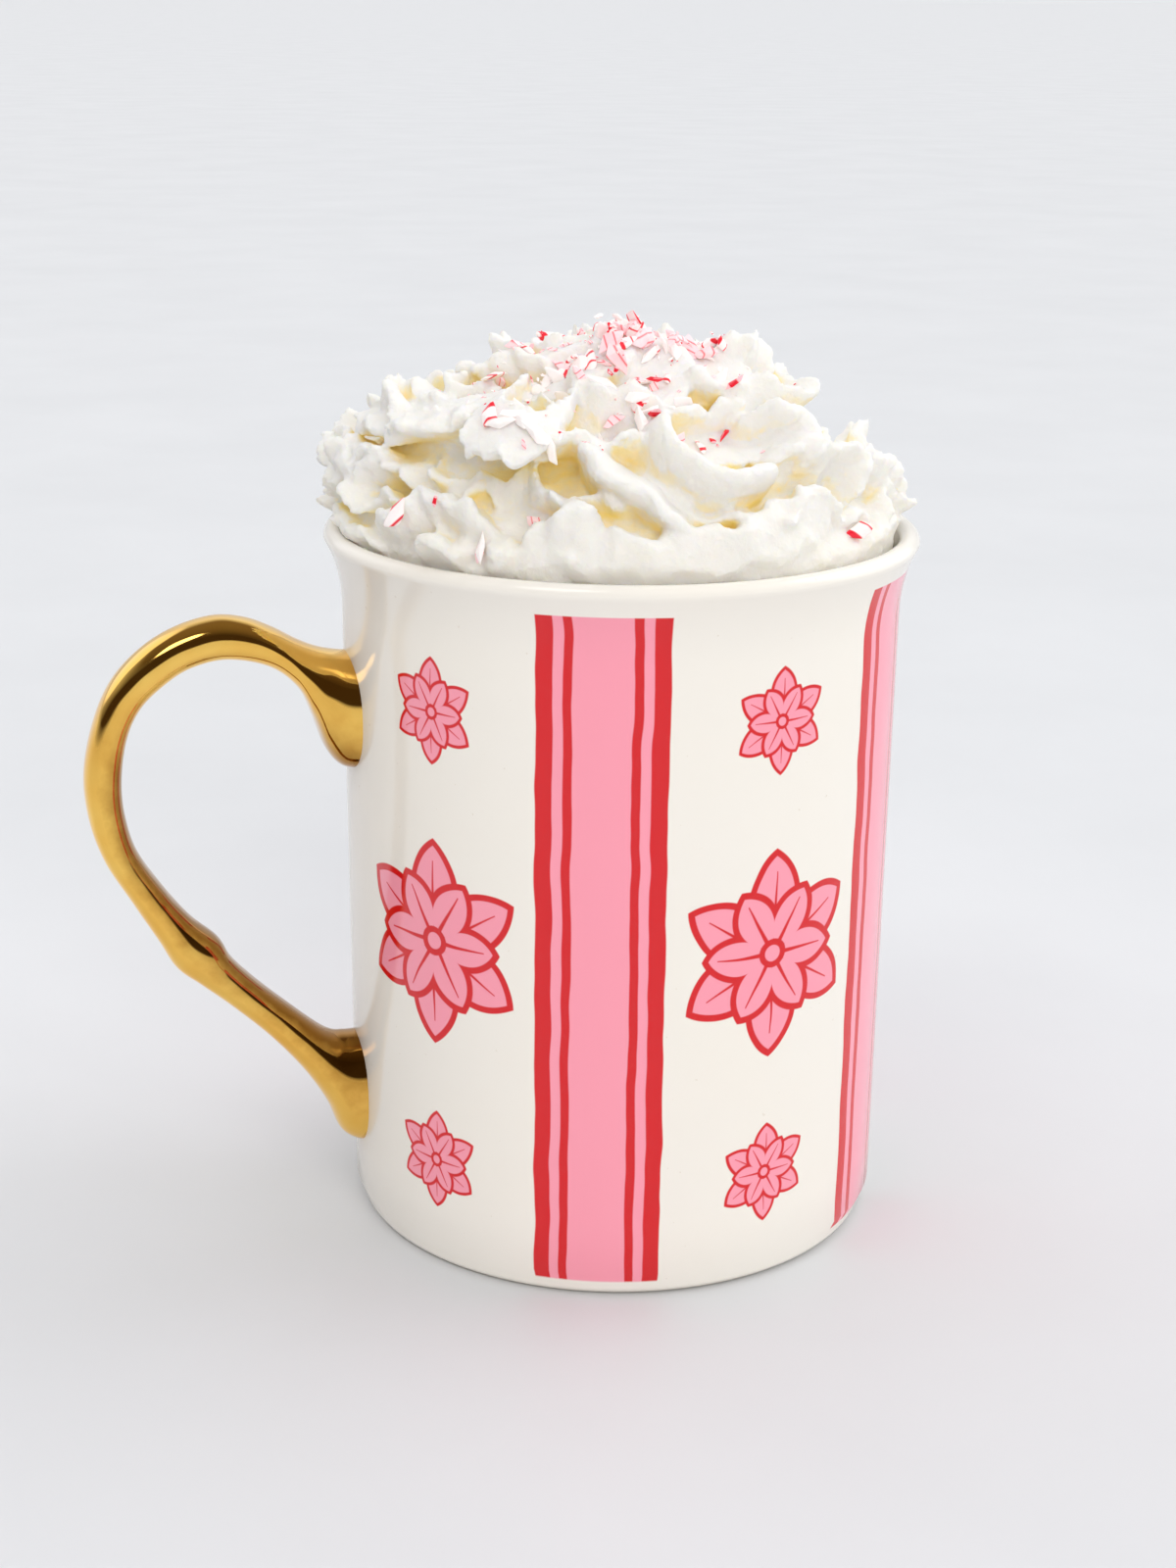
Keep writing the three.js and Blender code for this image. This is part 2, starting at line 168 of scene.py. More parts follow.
class Graph:
    """A node tree under construction, of a material, a world or a geometry."""

    def __init__(self, tree: bpy.types.NodeTree) -> None:
        """Starts from an empty tree."""
        tree.nodes.clear()
        self.tree = tree

    def node(
        self,
        kind: str,
        settings: dict[str, object] | None = None,
        inputs: dict[str | int, object] | None = None,
        output: str | int = 0,
    ) -> Wire:
        """Adds a node.

        Args:
            kind: The node's type.
            settings: Its properties, set first.
            inputs: The values or wires of its sockets, by name or number.
            output: The name or number of the output to return.

        Returns:
            The wire from that output.
        """
        made = self.tree.nodes.new(kind)
        for name, value in (settings or {}).items():
            setattr(made, name, value)
        for name, value in (inputs or {}).items():
            socket = made.inputs[name] if isinstance(name, int) else self._named(made.inputs, name)
            if isinstance(value, Wire):
                self.tree.links.new(value.socket, socket)
            else:
                socket.default_value = value
        if not made.outputs:
            return Wire(self, None)
        chosen = made.outputs[output] if isinstance(output, int) else self._named(made.outputs, output)
        return Wire(self, chosen)

    @staticmethod
    def _named(sockets: Iterable[bpy.types.NodeSocket], name: str) -> bpy.types.NodeSocket:
        """The socket of that name that is in use."""
        return next(socket for socket in sockets if socket.name == name and socket.enabled)

    def math(self, operation: str, *terms: Value) -> Wire:
        """Adds a Math node.

        Args:
            operation: What it works out.
            terms: Its terms, each a wire or a number.

        Returns:
            The result.
        """
        return self.node("ShaderNodeMath", {"operation": operation}, dict(enumerate(terms)))

    def dot(self, first: object, second: object) -> Wire:
        """How far one vector reaches along another."""
        return self.node("ShaderNodeVectorMath", {"operation": "DOT_PRODUCT"}, {0: first, 1: second}, "Value")

    def blend(self, share: Value, first: object, second: object) -> Wire:
        """Mixes two colours.

        Args:
            share: How much of the second colour shows.
            first: A wire or a colour.
            second: A wire or a colour.

        Returns:
            The mixed colour.
        """
        settings = {"data_type": "RGBA"}
        return self.node("ShaderNodeMix", settings, {"Factor": share, "A": first, "B": second}, "Result")

    def noise(self, place: Wire, grain_mm: float, detail: float = 2.0, roughness: float = 0.5) -> Wire:
        """Adds a noise.

        Args:
            place: Where on the object, in metres.
            grain_mm: The size of its patches in millimetres.
            detail: How many finer layers it has.
            roughness: How strong those are.

        Returns:
            A value that varies about a half.
        """
        inputs = {"Vector": place, "Scale": 1.0 / (grain_mm * MM), "Detail": detail, "Roughness": roughness}
        return self.node("ShaderNodeTexNoise", None, inputs, "Fac")

    def inside(self, distance: Wire, softness: float) -> Wire:
        """A mask that is 1 where a signed distance is below 0, with an edge of that softness."""
        return (0.5 - distance / softness).clipped()


class Paint(Graph):
    """A procedural material under construction."""

    bump_strength: float = 0.5

    def __init__(self, name: str) -> None:
        """Starts an empty material of that name."""
        self.material = bpy.data.materials.new(name)
        self.material.use_nodes = True
        super().__init__(self.material.node_tree)
        self.place = self.node("ShaderNodeTexCoord", None, None, "Object")

    def height(self) -> Wire:
        """The height above the foot in millimetres."""
        return self.node("ShaderNodeSeparateXYZ", None, {"Vector": self.place}, "Z") / MM

    def bump(self, height: Wire, depth_mm: float) -> Wire:
        """Adds a bump.

        Args:
            height: The relief, from 0 to 1.
            depth_mm: The depth of that relief in millimetres.

        Returns:
            The normal.
        """
        inputs = {"Height": height, "Distance": depth_mm * MM, "Strength": self.bump_strength}
        return self.node("ShaderNodeBump", None, inputs, "Normal")

    def attribute(self, name: str) -> Wire:
        """The value of the mesh's own attribute of that name."""
        return self.node("ShaderNodeAttribute", {"attribute_name": name}, None, "Fac")

    def finish(self, **inputs: object) -> bpy.types.Material:
        """Closes the material with a Principled shader.

        Args:
            inputs: Its sockets, with underscores in place of spaces.

        Returns:
            The material.
        """
        named = {name.replace("_", " "): value for name, value in inputs.items()}
        surface = self.node("ShaderNodeBsdfPrincipled", None, named, "BSDF")
        self.node("ShaderNodeOutputMaterial", None, {"Surface": surface})
        return self.material


class GeometryGraph(Graph):
    """A Geometry Nodes tree with named inputs, run once on an object."""

    def __init__(self, name: str, sizes: dict[str, tuple[str, object]]) -> None:
        """Starts a tree.

        Args:
            name: The tree's name.
            sizes: Its named inputs besides the geometry, each with its socket type and its value.
        """
        super().__init__(bpy.data.node_groups.new(name, "GeometryNodeTree"))
        self.values: dict[str, object] = {}
        sockets = self.tree.interface
        sockets.new_socket(name="Geometry", in_out="INPUT", socket_type="NodeSocketGeometry")
        for size, (kind, value) in sizes.items():
            made = sockets.new_socket(name=size, in_out="INPUT", socket_type=kind)
            self.values[made.identifier] = value
        sockets.new_socket(name="Geometry", in_out="OUTPUT", socket_type="NodeSocketGeometry")
        self._entry = self.tree.nodes.new("NodeGroupInput")

    def given(self, name: str) -> Wire:
        """The wire from the input of that name."""
        return Wire(self, self._entry.outputs[name])

    def named(self, name: str, data_type: str) -> Wire:
        """The geometry's own attribute of that name."""
        settings = {"data_type": data_type}
        return self.node("GeometryNodeInputNamedAttribute", settings, {"Name": name}, "Attribute")

    def run(self, host: bpy.types.Object, geometry: Wire, material: bpy.types.Material) -> None:
        """Ends the tree, runs it on an object and leaves a plain mesh there.

        Args:
            host: The object whose mesh goes in, and gets the result.
            geometry: The last wire before the instances are realized.
            material: The result's material.
        """
        real = self.node("GeometryNodeRealizeInstances", None, {"Geometry": geometry}, "Geometry")
        inputs = {"Geometry": real, "Material": material}
        painted = self.node("GeometryNodeSetMaterial", None, inputs, "Geometry")
        self.node("NodeGroupOutput", None, {"Geometry": painted})
        modifier = host.modifiers.new(self.tree.name, "NODES")
        modifier.node_group = self.tree
        for identifier, value in self.values.items():
            modifier[identifier] = value
        settle(host)


def settle(host: bpy.types.Object) -> None:
    """Turns an object and its modifiers into one plain mesh."""
    graph = bpy.context.evaluated_depsgraph_get()
    mesh = bpy.data.meshes.new_from_object(host.evaluated_get(graph), depsgraph=graph)
    host.modifiers.clear()
    host.data = mesh
    mesh.name = host.name


@dataclass
class Shell:
    """A closed surface: points in millimetres and faces that share them."""

    points: np.ndarray
    faces: list[tuple[int, ...]]

    @staticmethod
    def joined(shells: Sequence["Shell"]) -> "Shell":
        """Puts shells into one, side by side."""
        starts = np.cumsum([0] + [len(shell.points) for shell in shells])
        faces: list[tuple[int, ...]] = []
        for start, shell in zip(starts, shells):
            faces += [tuple(int(start) + index for index in face) for face in shell.faces]
        return Shell(np.concatenate([shell.points for shell in shells]), faces)

    def piece(self, name: str) -> bpy.types.Object:
        """Makes the shell a smooth object with its faces pointing out.

        Args:
            name: The object's name.

        Returns:
            The object, at the origin, in metres.
        """
        mesh = bpy.data.meshes.new(name)
        mesh.from_pydata((self.points * MM).tolist(), [], self.faces)
        work = bmesh.new()
        work.from_mesh(mesh)
        bmesh.ops.recalc_face_normals(work, faces=work.faces)
        work.to_mesh(mesh)
        work.free()
        mesh.polygons.foreach_set("use_smooth", [True] * len(mesh.polygons))
        made = bpy.data.objects.new(name, mesh)
        bpy.context.scene.collection.objects.link(made)
        return made


def lofted(rings: np.ndarray) -> Shell:
    """Makes a closed tube through rings of points, each end shut by a fan.

    Args:
        rings: Points by ring, by side and by axis.

    Returns:
        The shell.
    """
    count, sides = rings.shape[:2]
    points = np.concatenate([rings.reshape(-1, 3), rings[:1].mean(axis=1), rings[-1:].mean(axis=1)])
    first, last = count * sides, count * sides + 1
    faces: list[tuple[int, ...]] = []
    for side in range(sides):
        after = (side + 1) % sides
        for start in range(0, (count - 1) * sides, sides):
            faces.append((start + side, start + after, start + sides + after, start + sides + side))
        end = (count - 1) * sides
        faces += [(first, after, side), (last, end + side, end + after)]
    return Shell(points, faces)


def turned(profile: np.ndarray, segments: int) -> Shell:
    """Makes a solid of revolution about +Z.

    Args:
        profile: Rows of radius and height, with the first and last on the axis.
        segments: How many steps go round.

    Returns:
        The shell.
    """
    angles = np.linspace(0.0, 2.0 * math.pi, segments, endpoint=False)
    inner = profile[1:-1]
    across = inner[:, :1]
    heights = np.broadcast_to(inner[:, 1:], (len(inner), segments))
    rings = np.stack([across * np.cos(angles), across * np.sin(angles), heights], axis=2)
    shell = lofted(rings)
    shell.points[-2] = (0.0, 0.0, profile[0, 1])
    shell.points[-1] = (0.0, 0.0, profile[-1, 1])
    return shell


def spline(stations: Sequence[Sequence[float]], count: int) -> np.ndarray:
    """Runs a smooth curve through rows of numbers.

    Args:
        stations: The rows that it passes through.
        count: How many rows it gives.

    Returns:
        The rows along the curve.
    """
    rows = np.asarray(stations, float)
    padded = np.concatenate([2 * rows[:1] - rows[1:2], rows, 2 * rows[-1:] - rows[-2:-1]])
    along = np.linspace(0.0, len(rows) - 1.0, count)
    start = np.minimum(along.astype(int), len(rows) - 2)
    t = (along - start)[:, None]
    a, b, c, d = (padded[start + shift] for shift in range(4))
    return 0.5 * (2 * b + (c - a) * t + (2 * a - 5 * b + 4 * c - d) * t**2 + (3 * b - a - 3 * c + d) * t**3)


def polar(bearing: np.ndarray, radius: np.ndarray, height: np.ndarray) -> np.ndarray:
    """Turns bearings in degrees from +X, radii and heights into rows of points."""
    angle = np.radians(bearing)
    return np.stack(np.broadcast_arrays(radius * np.cos(angle), radius * np.sin(angle), height), axis=-1)


def unit(rows: np.ndarray) -> np.ndarray:
    """Makes each row a direction of length 1."""
    return rows / np.linalg.norm(rows, axis=-1, keepdims=True)


def seeded(seed: int) -> Iterator[float]:
    """Gives repeatable numbers from 0 to 1 without end."""
    factor, span = 16807, 2**31 - 1
    state = seed
    while True:
        state = state * factor % span
        yield state / span


def points_of(mesh: bpy.types.Mesh) -> np.ndarray:
    """The mesh's points as rows, in metres."""
    flat = np.empty(len(mesh.vertices) * 3)
    mesh.vertices.foreach_get("co", flat)
    return flat.reshape(-1, 3)


def move_points(mesh: bpy.types.Mesh, points: np.ndarray) -> None:
    """Sets the mesh's points from rows in metres."""
    mesh.vertices.foreach_set("co", points.ravel())
    mesh.update()


def set_radius(points: np.ndarray, radius: np.ndarray) -> None:
    """Moves rows of points straight in or out, to these distances from the axis."""
    now = np.hypot(points[:, 0], points[:, 1])
    points[:, :2] *= (radius / np.maximum(now, TINY))[:, None]


def hand_in(piece: bpy.types.Object, node: str | None = None) -> None:
    """Hangs a finished piece on the part.

    Args:
        piece: The piece, in its place.
        node: The CAD node that it stands for, if any.
    """
    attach(piece, BODY)
    if node is not None:
        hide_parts(node)
    piece.data.calc_loop_triangles()
    LOG.info("%s: %d triangles", piece.name, len(piece.data.loop_triangles))


@dataclass(frozen=True)
class BlossomPrint:
    """A repeating print under the glaze, in millimetres: upright ribbons with blossoms between them."""

    red: Colour = linear(216, 12, 22)
    pink: Colour = linear(252, 158, 176)
    repeats: int = 5
    first_ribbon_deg: float = -18.0
    wall_radius: float = 42.0
    least_radius: float = 41.0
    top: float = 104.5
    bottom: float = 2.2
    bare_by_handle_deg: float = 13.6
    ribbon_half: float = 9.4
    ribbon_edge: float = 2.4
    pinstripe_at: float = 4.9
    pinstripe: float = 1.3
    blossom_heights: tuple[float, ...] = (18.0, 53.0, 88.0)
    blossom_scales: tuple[float, ...] = (0.5, 1.0, 0.5)
    petals: int = 6
    outer_petal: tuple[float, float] = (16.0, 4.6)
    inner_petal: tuple[float, float] = (11.6, 3.7)
    outline: float = 1.0
    vein: float = 0.42
    vein_share: float = 0.78
    eye: float = 2.3
    wobble: float = 0.5
    wobble_grains: tuple[float, float] = (9.0, 11.7)
    softness: float = 0.16

    def colour(self, paint: Paint, ground: object) -> Wire:
        """Draws the print.

        Args:
            paint: The material under construction.
            ground: The colour of the bare glaze.

        Returns:
            The colour at each point of the wall.
        """
        axes = [paint.node("ShaderNodeSeparateXYZ", None, {"Vector": paint.place}, name) for name in "XYZ"]
        x, y, z = (axis / MM for axis in axes)
        noises = (paint.noise(paint.place, grain, detail=1.0) for grain in self.wobble_grains)
        wander = [(noise - 0.5) * (2 * self.wobble) for noise in noises]
        azimuth = paint.math("ARCTAN2", x, 0.0 - y)
        arc = azimuth * self.wall_radius + wander[0]
        height = z + wander[1]
        pitch = 2 * math.pi * self.wall_radius / self.repeats
        ribbon_at = math.radians(self.first_ribbon_deg) * self.wall_radius
        from_ribbon = (arc - ribbon_at + pitch / 2) % pitch - pitch / 2
        from_blossom = (arc - ribbon_at) % pitch - pitch / 2
        drawn = self._ribbon(paint, ground, abs(from_ribbon))
        for middle, scale in zip(self.blossom_heights, self.blossom_scales):
            drawn = self._blossom(paint, drawn, from_blossom, height - middle, scale)
        clear = math.radians(self.bare_by_handle_deg)
        by_handle = abs(abs(azimuth - math.pi / 2) - math.pi)
        shown = paint.inside(self.bottom - z, self.softness) * paint.inside(z - self.top, self.softness)
        outside = paint.inside(self.least_radius - paint.math("SQRT", x * x + y * y), self.softness)
        away = paint.inside((clear - by_handle) * self.wall_radius, self.softness)
        return paint.blend(shown * outside * away, ground, drawn)

    def _ribbon(self, paint: Paint, ground: object, across: Wire) -> Wire:
        """Draws the ribbons over the ground, from the distance to the nearest ribbon's middle."""
        body = paint.inside(across - self.ribbon_half, self.softness)
        edge = paint.inside(self.ribbon_half - self.ribbon_edge - across, self.softness)
        pinstripe = paint.inside(abs(across - self.pinstripe_at) - self.pinstripe / 2, self.softness)
        stripes = paint.blend(edge.at_least(pinstripe), self.pink, self.red)
        return paint.blend(body, ground, stripes)

    def _blossom(self, paint: Paint, ground: object, across: Wire, up: Wire, scale: float) -> Wire:
        """Draws one row of blossoms over the ground, from the distances to the nearest blossom's middle."""
        across, up = across / scale, up / scale
        away = paint.math("SQRT", across * across + up * up)
        angle = paint.math("ARCTAN2", up, across)
        step = 2 * math.pi / self.petals
        drawn = ground
        for (length, half), turn in ((self.outer_petal, step / 2), (self.inner_petal, 0.0)):
            local = (angle + turn + step / 2) % step - step / 2
            along, aside = away * local.cosine(), abs(away * local.sine())
            rounding = ((length / 2) ** 2 + half**2) / (2 * half)
            reach = paint.math("SQRT", (along - length / 2) ** 2.0 + (aside + (rounding - half)) ** 2.0)
            petal = reach - rounding
            line = paint.inside(0.0 - self.outline - petal, self.softness / scale)
            vein = paint.inside(aside - self.vein * (1.0 - along / length), self.softness / scale)
            vein = vein * paint.inside(along - self.vein_share * length, self.softness)
            fill = paint.blend(line.at_least(vein), self.pink, self.red)
            drawn = paint.blend(paint.inside(petal, self.softness / scale), drawn, fill)
        eye = paint.blend(paint.inside(away - self.eye + self.outline, self.softness), self.red, self.pink)
        return paint.blend(paint.inside(away - self.eye, self.softness), drawn, eye)


@dataclass(frozen=True)
class Glaze:
    """Cream-white glaze over the mug's print, with a dry unglazed foot."""

    colour: Colour = linear(243, 238, 229)
    cloud: Colour = linear(244, 237, 224)
    cloud_grain: float = 26.0
    cloud_from: float = 0.35
    cloud_gain: float = 0.9
    speck: Colour = linear(196, 178, 150)
    speck_grain: float = 0.9
    speck_from: float = 0.79
    speck_share: float = 0.25
    swell_grain: float = 17.0
    swell_depth: float = 0.25
    foot: Colour = linear(222, 214, 201)
    foot_height: float = 0.5
    foot_softness: float = 0.3
    foot_roughness: float = 0.5
    roughness: float = 0.1
    cloud_roughness: float = 0.03
    coat: float = 0.15
    coat_roughness: float = 0.03
    pattern: BlossomPrint = BlossomPrint()

    def material(self) -> bpy.types.Material:
        """Makes the material."""
        paint = Paint("glaze")
        dry = paint.inside(paint.height() - self.foot_height, self.foot_softness)
        cloud = paint.noise(paint.place, self.cloud_grain, detail=3.0)
        ground = paint.blend((cloud - self.cloud_from) * self.cloud_gain, self.colour, self.cloud)
        specks = paint.noise(paint.place, self.speck_grain, detail=1.0)
        pin = paint.math("GREATER_THAN", specks, self.speck_from)
        ground = paint.blend(pin * self.speck_share, ground, self.speck)
        printed = self.pattern.colour(paint, ground)
        swell = paint.noise(paint.place, self.swell_grain, detail=1.0)
        return paint.finish(
            Base_Color=paint.blend(dry, printed, self.foot),
            Roughness=self.roughness + self.cloud_roughness * cloud + self.foot_roughness * dry,
            Normal=paint.bump(swell, self.swell_depth),
            Coat_Weight=self.coat - self.coat * dry,
            Coat_Roughness=self.coat_roughness,
        )


@dataclass(frozen=True)
class GoldLustre:
    """Fired gold on the handle: a bright metal film with the slight swell of the glaze under it.

    The colour turns to a painted shade of brown on the loop's inner side below its arch, standing in for the
    dark reflections that fall there.
    """

    colour: Colour = linear(255, 211, 110)
    deep: Colour = linear(242, 176, 72)
    # Painted shade on the loop's inner side: its colour, how much of it shows, and the height above which it
    # fades out.
    painted_shade: Colour = linear(146, 94, 30)
    painted_shade_share: float = 0.85
    painted_shade_below: float = 88.0
    painted_shade_fade: float = 14.0
    inner_name: str = "inner"
    inner_from: float = 0.4
    inner_to: float = 0.85
    inner_smudge: float = 0.4
    cloud_grain: float = 14.0
    cloud_from: float = 0.2
    cloud_gain: float = 1.2
    smudge_grain: float = 3.5
    smudge_gain: float = 0.3
    smudge_from: float = 0.45
    smudge_roughness: float = 0.15
    roughness: float = 0.06
    swell_grain: float = 8.0
    swell_depth: float = 0.45

    def material(self) -> bpy.types.Material:
        """Makes the material."""
        paint = Paint("gold_lustre")
        cloud = paint.noise(paint.place, self.cloud_grain, detail=3.0)
        smudge = paint.noise(paint.place, self.smudge_grain, detail=3.0, roughness=0.6)
        swell = paint.noise(paint.place, self.swell_grain, detail=1.0)
        # Painted shade: below the arch, the loop's inner side is darkened to brown in place of the dark
        # reflections there; the smudge breaks up its edge.
        low = ((self.painted_shade_below - paint.height()) / self.painted_shade_fade).clipped()
        inner = paint.attribute(self.inner_name) + (smudge - 0.5) * self.inner_smudge
        painted_shade = ((inner - self.inner_from) / (self.inner_to - self.inner_from)).clipped() * low
        mottle = (cloud - self.cloud_from) * self.cloud_gain + (smudge - 0.5) * self.smudge_gain
        thin = paint.blend(mottle, self.colour, self.deep)
        return paint.finish(
            Base_Color=paint.blend(painted_shade * self.painted_shade_share, thin, self.painted_shade),
            Metallic=1.0,
            Roughness=self.roughness + self.smudge_roughness * (smudge - self.smudge_from).clipped(),
            Normal=paint.bump(swell, self.swell_depth),
        )


@dataclass(frozen=True)
class CreamFoam:
    """Whipped cream: a soft matte foam that glows through, with a painted warm shade and a faint painted glow
    in its hollows.
    """

    bright: Colour = linear(238, 236, 232)
    # The warm tint of the painted shade in the hollows, also the colour of their painted glow.
    painted_warmth: Colour = linear(255, 230, 140)
    hollow_from: float = 0.5
    hollow_to: float = 0.95
    hollow_name: str = "hollow"
    warm_below: float = 120.0
    warm_fade: float = 10.0
    warm_foot: float = 0.08
    bubble_grain: float = 0.8
    bubble_depth: float = 0.4
    bubble_roughness: float = 0.16
    patch_grain: float = 6.0
    patch_least: float = 0.55
    patch_gain: float = 0.6
    roughness: float = 0.42
    gloss: float = 0.35
    glow: float = 0.45
    glow_depth: float = 2.6
    glow_reach: tuple[float, float, float] = (1.0, 0.8, 0.45)
    # Strength of the painted glow in the hollows.
    hollow_light: float = 0.03

    def material(self) -> bpy.types.Material:
        """Makes the material."""
        paint = Paint("whipped_cream")
        hollow = paint.attribute(self.hollow_name)
        # The deeper a hollow, the more painted warm shade and painted glow it gets, in place of the light
        # that the foam scatters and bounces there.
        depth = ((hollow - self.hollow_from) / (self.hollow_to - self.hollow_from)).clipped()
        bubbles = paint.noise(paint.place, self.bubble_grain, detail=3.0, roughness=0.6)
        patches = paint.noise(paint.place, self.patch_grain)
        # The same warm tint also comes in a little towards the foot of the heap, below the set height.
        low = ((self.warm_below - paint.height()) / self.warm_fade).clipped() * self.warm_foot
        warmth = (depth + low) * (self.patch_least + self.patch_gain * patches)
        return paint.finish(
            Base_Color=paint.blend(warmth, self.bright, self.painted_warmth),
            Roughness=self.roughness + self.bubble_roughness * bubbles,
            Normal=paint.bump(bubbles, self.bubble_depth),
            Subsurface_Weight=self.glow,
            Subsurface_Radius=self.glow_reach,
            Subsurface_Scale=self.glow_depth * MM,
            Specular_IOR_Level=self.gloss,
            # Painted glow: the hollows give off a faint warm light, though the cream is no lamp.
            Emission_Color=paint.blend(depth, linear(0, 0, 0), self.painted_warmth),
            Emission_Strength=self.hollow_light,
        )


class ShardKind(Enum):
    """The kinds of crushed peppermint, each a piece of its own."""

    WHITE = "white"
    STRIPED = "striped"
    PINK = "pink"
    RED = "red"


@dataclass(frozen=True)
class Peppermint:
    """Boiled sugar: glossy and a little clear, with the red stripes that its kind has, and a faint painted
    glow of its own colour.

    The stripes lie across the shard. Their places and widths are shares of its length, from its middle.
    """

    kind: ShardKind
    white: Colour = linear(252, 247, 244)
    pink: Colour = linear(255, 202, 209)
    red: Colour = linear(232, 24, 48)
    stripe_name: str = "stripe"
    cloud_grain: float = 1.6
    white_cloud: float = 0.12
    striped_cloud: float = 0.3
    broad_at: float = 0.16
    broad_half: float = 0.07
    fine_at: float = -0.22
    fine_half: float = 0.025
    stripe_softness: float = 0.03
    pink_cloud: float = 0.6
    line_at: float = 0.14
    line_half: float = 0.02
    line_softness: float = 0.04
    line_share: float = 0.85
    red_half: float = 0.2
    red_softness: float = 0.06
    red_end_share: float = 0.9
    roughness: float = 0.22
    cloud_roughness: float = 0.2
    coat: float = 0.1
    glow: float = 0.2
    glow_depth: float = 0.8
    glow_reach: tuple[float, float, float] = (1.0, 0.5, 0.5)
    # Strength of the painted glow.
    light: float = 0.08

    def material(self) -> bpy.types.Material:
        """Makes the material."""
        paint = Paint(f"peppermint_{self.kind.value}")
        cloud = paint.noise(paint.place, self.cloud_grain)
        colour = self._colour(paint, cloud, paint.attribute(self.stripe_name))
        return paint.finish(
            Base_Color=colour,
            Roughness=self.roughness + self.cloud_roughness * cloud,
            Subsurface_Weight=self.glow,
            Subsurface_Radius=self.glow_reach,
            Subsurface_Scale=self.glow_depth * MM,
            Coat_Weight=self.coat,
            # Painted glow: the sugar gives off a little light of its own colour, in place of the light that
            # shines through it.
            Emission_Color=colour,
            Emission_Strength=self.light,
        )

    def _colour(self, paint: Paint, cloud: Wire, stripe: Wire) -> Wire:
        """Draws the kind's stripes.

        Args:
            paint: The material under construction.
            cloud: A noise that clouds the sugar.
            stripe: How far along the shard each point lies.

        Returns:
            The colour.
        """
        if self.kind is ShardKind.WHITE:
            return paint.blend(cloud * self.white_cloud, self.white, self.pink)
        if self.kind is ShardKind.RED:
            ends = paint.inside(self.red_half - abs(stripe), self.red_softness)
            return paint.blend(ends * self.red_end_share, self.red, self.pink)
        if self.kind is ShardKind.PINK:
            body = paint.blend(cloud * self.pink_cloud, self.pink, self.white)
            lines = paint.inside(abs(abs(stripe) - self.line_at) - self.line_half, self.line_softness)
            return paint.blend(lines * self.line_share, body, self.red)
        body = paint.blend(cloud * self.striped_cloud, self.white, self.pink)
        broad = paint.inside(abs(stripe - self.broad_at) - self.broad_half, self.stripe_softness)
        fine = paint.inside(abs(stripe - self.fine_at) - self.fine_half, self.stripe_softness)
        return paint.blend(broad.at_least(fine), body, self.red)


@dataclass(frozen=True)
class DrinkingChocolate:
    """The drink: dark and smooth, with a paler froth in patches."""

    dark: Colour = linear(74, 42, 26)
    froth: Colour = linear(142, 98, 66)
    froth_grain: float = 7.0
    froth_from: float = 0.45
    froth_gain: float = 3.0
    froth_roughness: float = 0.3
    bubble_grain: float = 1.2
    bubble_depth: float = 0.4
    roughness: float = 0.18

    def material(self) -> bpy.types.Material:
        """Makes the material."""
        paint = Paint("hot_chocolate")
        patches = paint.noise(paint.place, self.froth_grain, detail=4.0, roughness=0.65)
        froth = ((patches - self.froth_from) * self.froth_gain).clipped()
        bubbles = paint.noise(paint.place, self.bubble_grain)
        return paint.finish(
            Base_Color=paint.blend(froth, self.dark, self.froth),
            Roughness=self.roughness + self.froth_roughness * froth,
            Normal=paint.bump(bubbles * froth, self.bubble_depth),
        )


@dataclass(frozen=True)
class PaleTop:
    """The plain pale surface that the mug stands on."""

    colour: Colour = linear(219, 220, 222)
    shade: Colour = linear(212, 213, 215)
    cloud_grain: float = 90.0
    cloud_from: float = 0.3
    cloud_gain: float = 1.4
    roughness: float = 0.45
    cloud_roughness: float = 0.1
    gloss: float = 0.2

    def material(self) -> bpy.types.Material:
        """Makes the material."""
        paint = Paint("pale_top")
        cloud = paint.noise(paint.place, self.cloud_grain, detail=4.0, roughness=0.55)
        return paint.finish(
            Base_Color=paint.blend((cloud - self.cloud_from) * self.cloud_gain, self.colour, self.shade),
            Roughness=self.roughness + self.cloud_roughness * cloud,
            Specular_IOR_Level=self.gloss,
        )


